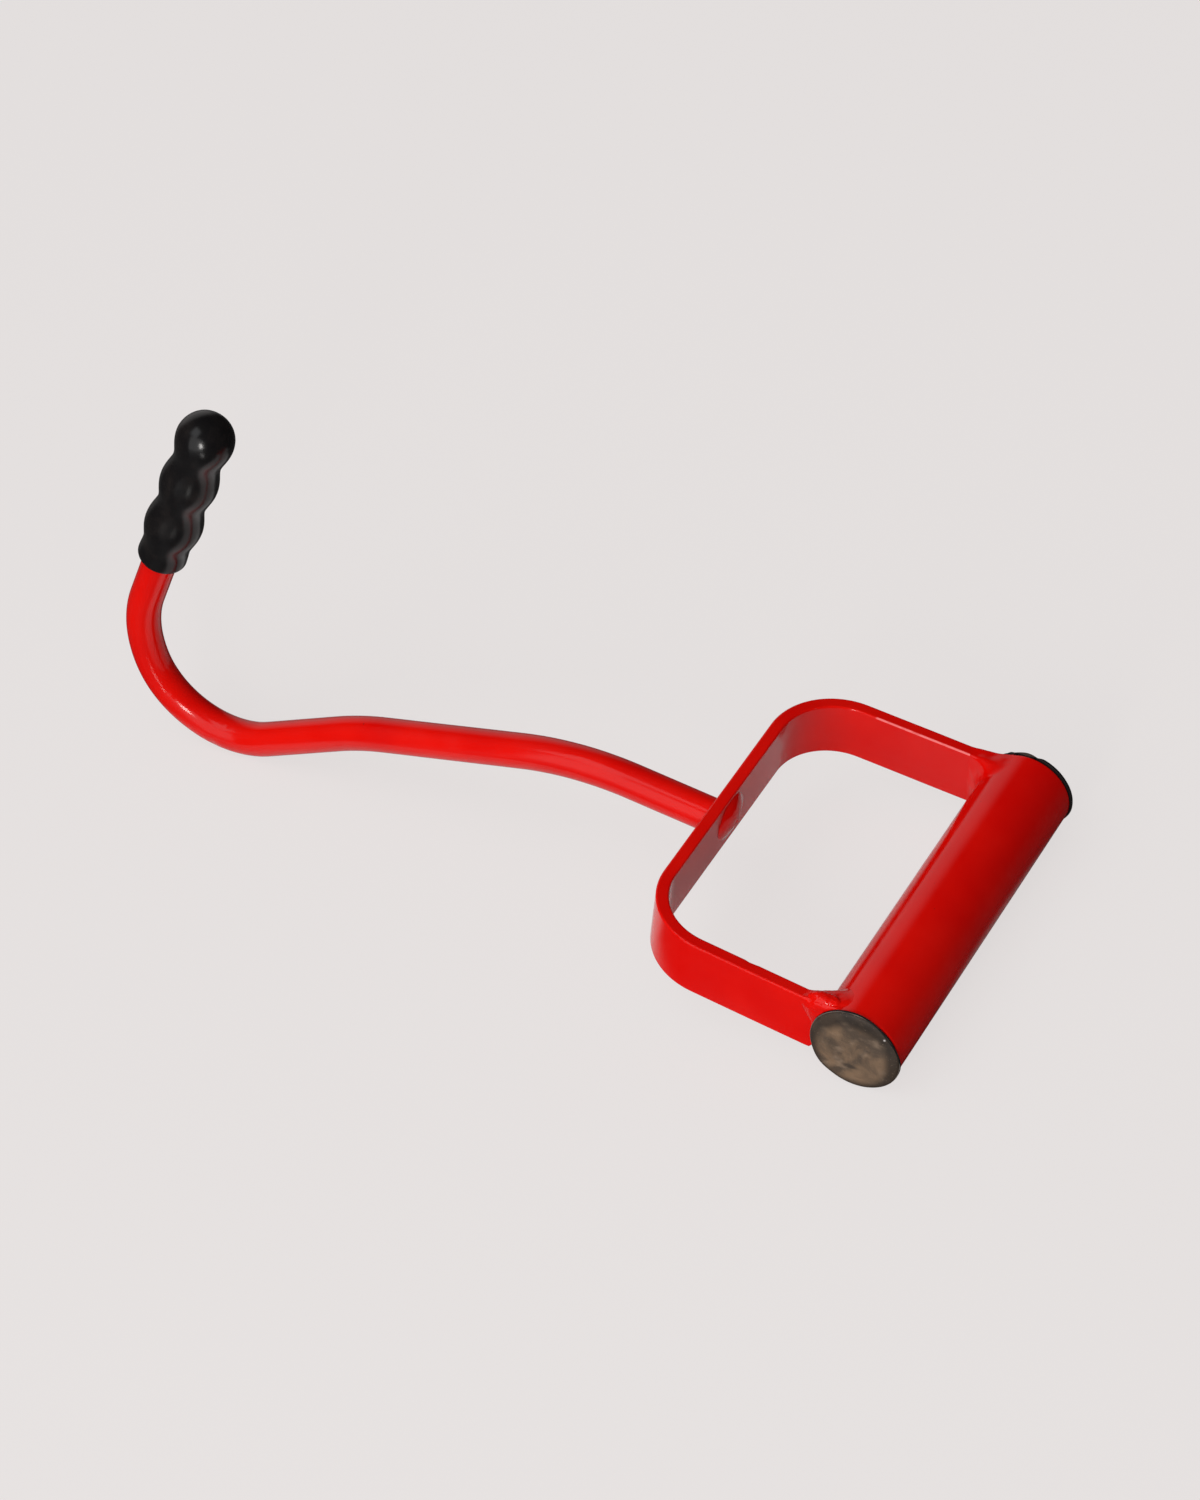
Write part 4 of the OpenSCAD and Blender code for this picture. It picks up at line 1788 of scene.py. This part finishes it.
@dataclass
class ArmWeld(Piece):
    """Painted weld that fills the corner between an arm and the tube.

    Args:
        end: End of the grip that it is on.
        tube_radius: Outer radius of the tube.
        half_grip: Distance from the grip's middle to the tube's end.
        pull: How far the weld's hollow is drawn to the corner, as a share of its legs.
        full_leg: Leg past which the weld has its whole swell.
        swell: How far it stands out of its hollow all over.
        lumps: Height of its lumps.
        lump_size: Distance from lump to lump.
        grains: Height of its grain.
        grain_size: Distance from grain to grain.
        steps: Steps from the arm to the tube.
        edge_steps: Steps along each rounding of the arm's edges.
        spacing: Longest stretch round the arm.
        sink: How far its back lies below the steel.
        rim_gap: How far it stays from the tube's end.
        sharp: Angle past which an edge stays sharp.
        seed: Chooses the lumps and the grain.
        blobs: Rounded lumps that lie on it.
        legs: Legs every 45 degrees round the arm, from the middle of its outer face over its top.
    """

    name: str = "arm_bead"
    node: str = "arm_weld"
    slot: Slot = Slot.PAINT
    end: End = End.FAR
    tube_radius: float = 15.875 * MM
    half_grip: float = 69.85 * MM
    pull: float = 0.42
    full_leg: float = 4 * MM
    swell: float = 0.30 * MM
    lumps: float = 0.35 * MM
    lump_size: float = 3.6 * MM
    grains: float = 0.05 * MM
    grain_size: float = 1.1 * MM
    steps: int = 20
    edge_steps: int = 12
    spacing: float = 0.4 * MM
    sink: float = 0.4 * MM
    rim_gap: float = 0.3 * MM
    sharp: float = 70.0
    seed: float = 0.0
    blobs: tuple[Blob, ...] = ()
    legs: tuple[WeldLeg, ...] = (
        WeldLeg(1.2 * MM, 0.5 * MM), WeldLeg(6.6 * MM, 4.8 * MM), WeldLeg(5.8 * MM, 6.2 * MM),
        WeldLeg(5.6 * MM, 6.6 * MM), WeldLeg(5.0 * MM, 4.4 * MM), WeldLeg(4.4 * MM, 3.4 * MM),
        WeldLeg(1.4 * MM, 1.6 * MM), WeldLeg(0.5 * MM, 0.5 * MM),
    )

    def leg(self, angle: float) -> WeldLeg:
        """Works out the legs at a place round the arm.

        Args:
            angle: Angle from the middle of the arm's outer face, in radians.

        Returns:
            The legs there, eased between the two nearest.
        """
        count = len(self.legs)
        turn = (angle % math.tau) / (math.tau / count)
        first = self.legs[int(turn) % count]
        second = self.legs[(int(turn) + 1) % count]
        share = eased(turn % 1)
        return WeldLeg(*(a + (b - a) * share for a, b in zip(first, second)))

    def contour(self, yoke: Yoke) -> list[tuple[float, float, Vector]]:
        """Goes round the arm's section where it meets the tube.

        Args:
            yoke: The yoke.

        Returns:
            Depth below the outer face, height, and the outward direction in Y and Z, at each place.
        """
        low = yoke.lifted(0, -yoke.height / 2)
        outline = yoke.edged(low, self.edge_steps, self.spacing)
        places = []
        for index, spot in enumerate(outline):
            before, after = outline[index - 1], outline[(index + 1) % len(outline)]
            run = Vector((after.across - before.across, after.along - before.along)).normalized()
            places.append((spot.across, spot.along, Vector((-run.y, run.x))))
        return places

    def ring(self, yoke: Yoke, depth: float, height: float, out: Vector) -> list[Vector]:
        """Cross-section of the weld at one place round the arm.

        Args:
            yoke: The yoke.
            depth: Depth below the arm's outer face.
            height: Height on the arm.
            out: Outward direction in depth and height.

        Returns:
            Points from the arm to the tube, and back below both surfaces.
        """
        radius = self.tube_radius
        foot = yoke.arm_end(depth, height)
        middle_depth, half = yoke.thickness / 2, yoke.height / 2
        leg = self.leg(math.atan2(height / half, (middle_depth - depth) / middle_depth))
        level = Vector((0, -out.x, out.y))
        up_x = -(radius + leg.up_arm)
        on_arm = Vector((up_x, foot.y + (up_x - foot.x) * math.tan(math.radians(yoke.splay)), height))
        around = math.asin(height / radius) + out.y * leg.round_tube / radius
        along = min(foot.y - out.x * leg.round_tube, self.half_grip - self.rim_gap)
        on_tube = Vector((-radius * math.cos(around), along, radius * math.sin(around)))
        handle_arm = on_arm.lerp(foot, self.pull)
        handle_tube = on_tube.lerp(foot, self.pull)
        bulge = (level + (on_tube - foot).normalized() - Vector((1, 0, 0))).normalized()
        fullness = min(1.0, min(leg) / self.full_leg)
        points = []
        for step in range(self.steps + 1):
            t = step / self.steps
            spot = ((1 - t) ** 3 * on_arm + 3 * t * (1 - t) ** 2 * handle_arm
                    + 3 * t * t * (1 - t) * handle_tube + t ** 3 * on_tube)
            lump = noise.noise((spot + Vector((self.seed, 0, 0))) / self.lump_size)
            grain = noise.noise((spot + Vector((0, self.seed, 0))) / self.grain_size)
            high = self.swell + self.lumps * lump + self.grains * grain
            points.append(spot + bulge * high * fullness * math.sin(math.pi * t))
        inward = (Vector((0, on_tube.y, 0)) - on_tube).normalized()
        points.append(on_tube + inward * self.sink)
        points.append(foot + inward * self.sink - level * self.sink)
        points.append(on_arm - level * self.sink)
        return points

    def build(self, place: HandleFrame, yoke: Yoke, enamel: bpy.types.Material) -> bpy.types.Object:
        """Lays the weld round the arm.

        Args:
            place: The handle frame.
            yoke: The yoke.
            enamel: The paint.

        Returns:
            The finished object.
        """
        shell = Shell()
        rings = []
        for depth, height, out in self.contour(yoke):
            points = self.ring(yoke, depth, height, out)
            rings.append([shell.point(self.end.mirrored @ p) for p in points])
        shell.skin(rings, closed=True)
        for blob in self.blobs:
            self.add_blob(shell, blob)
        return self.settle(shell.finish(self.name, place.matrix, self.sharp), enamel)

    def add_blob(self, shell: Shell, blob: Blob) -> None:
        """Adds a rounded lump with a grainy skin.

        Args:
            shell: The weld so far.
            blob: The lump.
        """
        middle, reach = Vector(blob.middle), Vector(blob.reach)
        around, down = 96, 48
        grain_size, lump_size = 0.9 * MM, 3 * MM
        rings = []
        for step in range(down + 1):
            lean = math.pi * step / down
            ring = []
            for side in range(1 if step in (0, down) else around):
                turn = math.tau * side / around
                level = math.sin(lean)
                way = Vector((level * math.cos(turn), math.cos(lean), level * math.sin(turn)))
                spot = middle + Vector(a * b for a, b in zip(way, reach))
                grain = noise.noise(spot / grain_size) * self.grains
                lump = noise.noise(spot / lump_size) * self.lumps
                ring.append(shell.point(spot + way * (grain + lump)))
            rings.append(ring)
        shell.skin(rings)


@dataclass
class RodWeld(Piece):
    """Low dome of weld over the bar's end, on the inner face of the yoke's back.

    Args:
        face_x: Where the inner face of the yoke's back lies.
        middle: Y and Z of its middle.
        radius: Its radius.
        height: How far it stands off the face.
        lean: How much fuller it is on one side.
        lean_way: Angle of that side, from +Y towards +Z.
        raggedness: How much its reach varies round it, as a share.
        lumpiness: How much its height varies, as a share.
        lump_pitch: How closely its lumps lie.
        lump_seed: Chooses the lumps.
        rings_out: Rings from its middle to its edge.
        sides: Points round it.
        sink: How far its back lies below the face.
        sharp: Angle past which an edge stays sharp.
    """

    name: str = "shank_bead"
    node: str = "rod_weld"
    slot: Slot = Slot.PAINT
    face_x: float = -83.1 * MM
    middle: tuple[float, float] = (2.4 * MM, 0.6 * MM)
    radius: float = 9.3 * MM
    height: float = 2.7 * MM
    lean: float = 0.6
    lean_way: float = 135.0
    raggedness: float = 0.06
    lumpiness: float = 0.20
    lump_pitch: float = 1.6
    lump_seed: float = 3.1
    rings_out: int = 40
    sides: int = 136
    sink: float = 0.3 * MM
    sharp: float = 75.0

    def rise(self, share: float, angle: float) -> float:
        """Height of the weld over the yoke's face.

        Args:
            share: Distance from its middle, as a share of its radius.
            angle: Angle round its middle, in radians.

        Returns:
            A low dome, fuller and steeper on one side.
        """
        fuller = 1 + self.lean * share * math.cos(angle - math.radians(self.lean_way))
        return self.height * (1 - share ** 2) * fuller

    def build(self, place: HandleFrame, enamel: bpy.types.Material) -> bpy.types.Object:
        """Lays the puddle of weld, a little lumpy.

        Args:
            place: The handle frame.
            enamel: The paint.

        Returns:
            The finished object.
        """
        shell = Shell()
        middle = Vector((0, *self.middle))
        rings = [[shell.point(Vector((self.face_x + self.rise(0, 0), 0, 0)) + middle)]]
        for step in range(1, self.rings_out + 1):
            share = step / self.rings_out
            ring = []
            for side in range(self.sides):
                angle = math.tau * side / self.sides
                way = Vector((0, math.cos(angle), math.sin(angle)))
                lump = noise.noise(way * self.lump_pitch + Vector((self.lump_seed, share, 0)))
                reach = self.radius * share * (1 + self.raggedness * lump)
                rise = self.rise(share, angle) * (1 + self.lumpiness * lump)
                ring.append(shell.point(Vector((self.face_x + rise, 0, 0)) + middle + way * reach))
            rings.append(ring)
        below = [shell.point(Vector((self.face_x - self.sink, v.co.y, v.co.z))) for v in rings[-1]]
        rings.append(below)
        shell.skin(rings)
        shell.lid(below)
        return self.settle(shell.finish(self.name, place.matrix, self.sharp), enamel)


# Stage


@dataclass(frozen=True)
class PhotoCamera:
    """Camera at the photograph's viewing angle, for an image of 1200 by 1500.

    Args:
        target: Place at the middle of the view.
        azimuth: Heading of the view from +Y towards +X.
        elevation: How far the view looks down.
        roll: How far the camera's top leans to its right.
        distance: Distance to the target.
        lens: Focal length, in millimetres.
        sensor: Height of the sensor, in millimetres.
        nearest: Distance past which things show.
        furthest: Distance up to which they show.
    """

    target: tuple[float, float, float] = (22.727 * MM, 1.696 * MM, 47.484 * MM)
    azimuth: float = -32.108
    elevation: float = 40.478
    roll: float = 6.617
    distance: float = 1.73866
    lens: float = 120.0
    sensor: float = 36.0
    nearest: float = 0.05
    furthest: float = 30.0

    def build(self) -> bpy.types.Object:
        """Sets up the scene's camera.

        Returns:
            The camera.
        """
        lean = math.radians(self.roll)
        ahead = towards(self.azimuth, -self.elevation)
        level = ahead.cross(Vector((0, 0, 1))).normalized()
        upright = level.cross(ahead)
        right = level * math.cos(lean) - upright * math.sin(lean)
        up = upright * math.cos(lean) + level * math.sin(lean)
        data = bpy.data.cameras.new("photo_camera")
        data.lens = self.lens
        data.sensor_width = self.sensor
        data.sensor_fit = "AUTO"
        data.clip_start = self.nearest
        data.clip_end = self.furthest
        camera = bpy.data.objects.new("photo_camera", data)
        bpy.context.scene.collection.objects.link(camera)
        turned = Matrix((right, up, -ahead)).transposed().to_4x4()
        camera.matrix_world = Matrix.Translation(Vector(self.target) - ahead * self.distance) @ turned
        bpy.context.scene.camera = camera
        return camera


@dataclass(frozen=True)
class Lamp:
    """A soft lamp that faces the middle of the object.

    Args:
        name: What the lamp does.
        azimuth: Where it stands, in degrees from +Y towards +X.
        elevation: Height above the horizon, in degrees.
        distance: Distance of the lamp.
        width: Level side of the lamp.
        height: Upright side of the lamp.
        level: Light that it gives a white surface facing it, where 1 shows white.
        colour: Colour of its light.
    """

    name: str
    azimuth: float
    elevation: float
    distance: float
    width: float
    height: float
    level: float
    colour: Colour = (1.0, 1.0, 1.0)

    def build(self, target: Vector) -> None:
        """Hangs the lamp.

        Args:
            target: What it faces.
        """
        data = bpy.data.lights.new(self.name, "AREA")
        data.shape = "RECTANGLE"
        data.size = self.width
        data.size_y = self.height
        data.energy = self.level * (math.pi * self.distance) ** 2
        data.color = self.colour
        away = towards(self.azimuth, self.elevation)
        facing = away.to_track_quat("Z", "Y").to_matrix().to_4x4()
        lamp = bpy.data.objects.new(self.name, data)
        bpy.context.scene.collection.objects.link(lamp)
        lamp.matrix_world = Matrix.Translation(target + away * self.distance) @ facing


def towards(azimuth: float, elevation: float) -> Vector:
    """Direction at an azimuth from +Y towards +X and an elevation, both in degrees."""
    turn, rise = math.radians(azimuth), math.radians(elevation)
    return Vector((math.sin(turn) * math.cos(rise), math.cos(turn) * math.cos(rise), math.sin(rise)))


class Pool(NamedTuple):
    """A lit oval of floor: its middle, and its reach along X and Y."""

    x: float
    y: float
    reach_x: float
    reach_y: float


@dataclass(frozen=True)
class SoftStudio:
    """Plain pale floor and plain soft light.

    Args:
        pale: Colour that the floor and the backdrop show.
        shadow_share: How much of the floor's shown colour comes from its lighting.
        open_light: Light that the open floor gets, where 1 shows a white floor white.
        floor_albedo: How pale the floor is to light that bounces.
        floor_size: Side of the floor.
        table: Paleness of the lit floor in reflections.
        dim_table: Paleness of the rest of the floor in reflections.
        table_rough: Roughness of the floor in reflections.
        pools: Lit ovals of floor, inside the handle and along the bar.
        pool_fade: Where the light of a pool starts and ends to fade, as shares of its reach.
        fill: Level of light from all round.
        daylight: Level of the soft light that it adds from one side.
        daylight_way: Azimuth and elevation of that side.
        daylight_reach: Cosines of the angles from that side at which it starts and is full.
        glow: How bright the pale wall behind the hook is in reflections.
        glow_way: Azimuth and elevation of that wall's middle.
        glow_reach: Cosines of the angles from its middle at which the wall starts and is full.
        dark: How bright the rest of the surroundings is in reflections.
        target: Place that the lamps face.
        lamps: The lamps.
    """

    pale: Colour = (0.776, 0.745, 0.738)
    shadow_share: float = 0.14
    open_light: float = 0.69
    floor_albedo: float = 0.45
    floor_size: float = 12.0
    table: float = 0.90
    dim_table: float = 0.06
    table_rough: float = 0.16
    pools: tuple[Pool, ...] = (Pool(0.090, 0.020, 0.080, 0.095), Pool(-0.040, 0.010, 0.125, 0.075))
    pool_fade: tuple[float, float] = (0.85, 1.20)
    fill: float = 0.20
    daylight: float = 1.20
    daylight_way: tuple[float, float] = (-150.0, 55.0)
    daylight_reach: tuple[float, float] = (0.5, 1)
    glow: float = 0.75
    glow_way: tuple[float, float] = (-47.0, 14.0)
    glow_reach: tuple[float, float] = (0.80, 0.97)
    dark: float = 0.02
    target: tuple[float, float, float] = (0.0, 0.0, 50 * MM)
    lamps: tuple[Lamp, ...] = (
        Lamp("key", azimuth=168, elevation=18, distance=1.5, width=0.27, height=0.45, level=0.36,
             colour=(1.0, 0.975, 0.94)),
        Lamp("softbox", azimuth=-172, elevation=20, distance=1.6, width=1.50, height=1.40, level=0.28),
        Lamp("window", azimuth=-147, elevation=58, distance=1.6, width=0.80, height=0.80, level=0.10,
             colour=(0.95, 0.98, 1.0)),
    )

    def build(self) -> None:
        """Lays the floor, hangs the lamps and sets the world."""
        self.lay_floor()
        self.set_world()
        for lamp in self.lamps:
            lamp.build(Vector(self.target))

    @staticmethod
    def mirrored(wiring: Wiring) -> bpy.types.NodeSocket:
        """Tells the rays that show the surroundings in a gloss or through glass from the others.

        Args:
            wiring: Nodes of a material or of the world.

        Returns:
            1 for such a ray, and 0 otherwise.
        """
        path = wiring.node("ShaderNodeLightPath").outputs
        return wiring.combine("MAXIMUM", path["Is Glossy Ray"], path["Is Transmission Ray"])

    @staticmethod
    def seen(wiring: Wiring) -> bpy.types.NodeSocket:
        """1 for a ray from the camera, and 0 otherwise."""
        return wiring.node("ShaderNodeLightPath").outputs["Is Camera Ray"]

    def lay_floor(self) -> None:
        """Lays the floor, pale to the camera and in reflections, with the object's soft shadow."""
        half = self.floor_size / 2
        corners = [(-half, -half, 0), (half, -half, 0), (half, half, 0), (-half, half, 0)]
        data = bpy.data.meshes.new("floor")
        data.from_pydata(corners, [], [(0, 1, 2, 3)])
        floor = bpy.data.objects.new("floor", data)
        bpy.context.scene.collection.objects.link(floor)
        data.materials.append(self.floor_material())

    def floor_material(self) -> bpy.types.Material:
        """Builds the floor's looks: shown, mirrored and to light that bounces.

        Returns:
            The finished material.
        """
        wiring = ShaderWiring("pale_floor")
        shaded = (*(c * self.shadow_share for c in self.pale), 1)
        lit = wiring.node("ShaderNodeBsdfDiffuse", {"Color": shaded})
        level = 1 - self.shadow_share * self.open_light
        glow = wiring.node("ShaderNodeEmission", {"Color": (*self.pale, 1), "Strength": level})
        shown = wiring.node("ShaderNodeAddShader", {0: lit.outputs[0], 1: glow.outputs[0]})
        bounce = wiring.node("ShaderNodeBsdfDiffuse", {"Color": (*[self.floor_albedo] * 3, 1)})
        look = {"Base Color": self.table_paleness(wiring), "Roughness": self.table_rough}
        table = wiring.node("ShaderNodeBsdfPrincipled", look)
        unseen = wiring.node("ShaderNodeMixShader", {
            0: self.mirrored(wiring), 1: bounce.outputs[0], 2: table.outputs[0],
        })
        mixed = wiring.node("ShaderNodeMixShader", {
            0: self.seen(wiring), 1: unseen.outputs[0], 2: shown.outputs[0],
        })
        wiring.tree.links.new(mixed.outputs[0], wiring.output.inputs["Surface"])
        return wiring.material

    def table_paleness(self, wiring: ShaderWiring) -> bpy.types.NodeSocket:
        """Works out how pale the floor is in reflections.

        Args:
            wiring: Nodes of the floor's material.

        Returns:
            The paleness, high in the pools of light.
        """
        starts, ends = self.pool_fade
        pooled = 0.0
        for pool in self.pools:
            near = wiring.vector("SUBTRACT", wiring.place(), (pool.x, pool.y, 0))
            shrink = (1 / pool.reach_x, 1 / pool.reach_y, 0)
            away = wiring.vector("LENGTH", wiring.vector("MULTIPLY", near, shrink))
            pooled = wiring.combine("MAXIMUM", pooled, wiring.ease(away, Ease(starts, ends, 1, 0)))
        return wiring.ease(pooled, Ease(0, 1, self.dim_table, self.table))

    def set_world(self) -> None:
        """Makes the surroundings pale to the camera, and dim with one pale wall in reflections."""
        world = bpy.data.worlds.new("studio")
        world.use_nodes = True
        bpy.context.scene.world = world
        wiring = Wiring(world.node_tree)
        way = wiring.node("ShaderNodeTexCoord").outputs["Generated"]
        to_wall = wiring.vector("DOT_PRODUCT", way, towards(*self.glow_way))
        wall = wiring.ease(to_wall, Ease(*self.glow_reach, self.dark, self.glow))
        to_side = wiring.vector("DOT_PRODUCT", way, towards(*self.daylight_way))
        full = self.fill + self.daylight
        soft = wiring.ease(to_side, Ease(*self.daylight_reach, self.fill, full))
        ray = {0: self.mirrored(wiring), 2: soft, 3: wall}
        light = wiring.node("ShaderNodeMix", ray, data_type="FLOAT").outputs[0]
        ray = {0: self.seen(wiring), 2: light, 3: 1.0}
        level = wiring.node("ShaderNodeMix", ray, data_type="FLOAT").outputs[0]
        sky = wiring.node("ShaderNodeBackground", {"Color": (*self.pale, 1), "Strength": level})
        wiring.node("ShaderNodeOutputWorld", {"Surface": sky.outputs[0]})


# Dents, marks and welds of this hook


SMUDGE: Colour = (0.055, 0.040, 0.030)
# Pale dots of painted highlight, for glints near the near plug's rim.
PAINTED_GLINT: Colour = (0.55, 0.52, 0.50)
PLUG_DENTS = {
    End.NEAR: (
        Dent((-13.5 * MM, -70.2 * MM, -12.9 * MM), 8 * MM, -0.40 * MM),
        Dent((11.7 * MM, -70.6 * MM, 11.7 * MM), 14 * MM, 1.0 * MM),
    ),
    End.FAR: (
        Dent((13.6 * MM, 70.4 * MM, -9.5 * MM), 9 * MM, 0.8 * MM),
        Dent((-3.4 * MM, 70.9 * MM, 16.0 * MM), 7.0 * MM, 1.9 * MM),
        Dent((-14.4 * MM, 70.9 * MM, 8.3 * MM), 9.5 * MM, 1.9 * MM),
    ),
}
PLUG_MARKS = {
    End.NEAR: (
        Mark(-0.4 * MM, -7.2 * MM, 4.2 * MM, 1.3 * MM, 6, SMUDGE, 0.9),
        Mark(9.7 * MM, 10.6 * MM, 0.55 * MM, 0.55 * MM, 0, PAINTED_GLINT, 0.9),
        Mark(16.0 * MM, 4.1 * MM, 0.5 * MM, 0.5 * MM, 0, PAINTED_GLINT, 0.8),
    ),
    End.FAR: (Mark(3.0 * MM, 4.0 * MM, 3.6 * MM, 1.2 * MM, 40, SMUDGE, 0.8),),
}

YOKE_DENTS = (Dent((-43.2 * MM, -63.3 * MM, 11.2 * MM), 1.8 * MM, 0.4 * MM),)
ROD_DENTS = (
    Dent((-304.8 * MM, -5.3 * MM, -49.9 * MM), 2.4 * MM, 0.12 * MM),
    Dent((-287.9 * MM, -5.6 * MM, -59.3 * MM), 2.6 * MM, 0.16 * MM),
    Dent((-281.5 * MM, -2.9 * MM, -57.0 * MM), 2.6 * MM, 0.14 * MM),
    Dent((-284.7 * MM, -5.8 * MM, -65.1 * MM), 3.0 * MM, 0.30 * MM),
)
WELD_FORMS = {
    End.NEAR: {
        "swell": 0.95 * MM,
        "grains": 0.22 * MM,
        "blobs": (Blob((-13.4 * MM, -66.5 * MM, 11.4 * MM), (7.4 * MM, 3.1 * MM, 3.4 * MM)),),
    },
    End.FAR: {},
}


def report(made: bpy.types.Object) -> None:
    """Logs a finished piece.

    Args:
        made: The piece.
    """
    data = made.data
    finish = data.materials[0].name
    log.info("%s: %d points, %d faces, %s", made.name, len(data.vertices), len(data.polygons), finish)


def main() -> None:
    """Sets the stage, builds and dresses every piece, and reports each."""
    bpy.context.scene.view_settings.view_transform = "Standard"
    PhotoCamera().build()
    SoftStudio().build()
    place = HandleFrame.from_cad()
    enamel = RedEnamel().material()
    tube = GripTube()
    report(tube.build(place, enamel))
    yoke = Yoke(dents=YOKE_DENTS)
    report(yoke.build(place, enamel))
    rod = HookRod(dents=ROD_DENTS)
    report(rod.build(place, enamel))
    report(RodWeld().build(place, enamel))
    for end in End:
        side = end.name.lower()
        weld = ArmWeld(
            name="arm_bead_" + side,
            node="arm_weld_" + side,
            end=end,
            seed=5.0 * end.value,
            **WELD_FORMS[end],
        )
        report(weld.build(place, yoke, enamel))
        plug = EndPlug(
            name="dusty_plug_" + side,
            node="end_plug_" + side,
            end=end,
            dents=PLUG_DENTS[end],
            marks=PLUG_MARKS[end],
        )
        report(plug.build(place, tube.length / 2))
    report(TipGuard().build(place, rod.guard_seat))


if __name__ == "__main__":
    logging.basicConfig(level=logging.INFO, format="%(name)s: %(message)s")
    main()
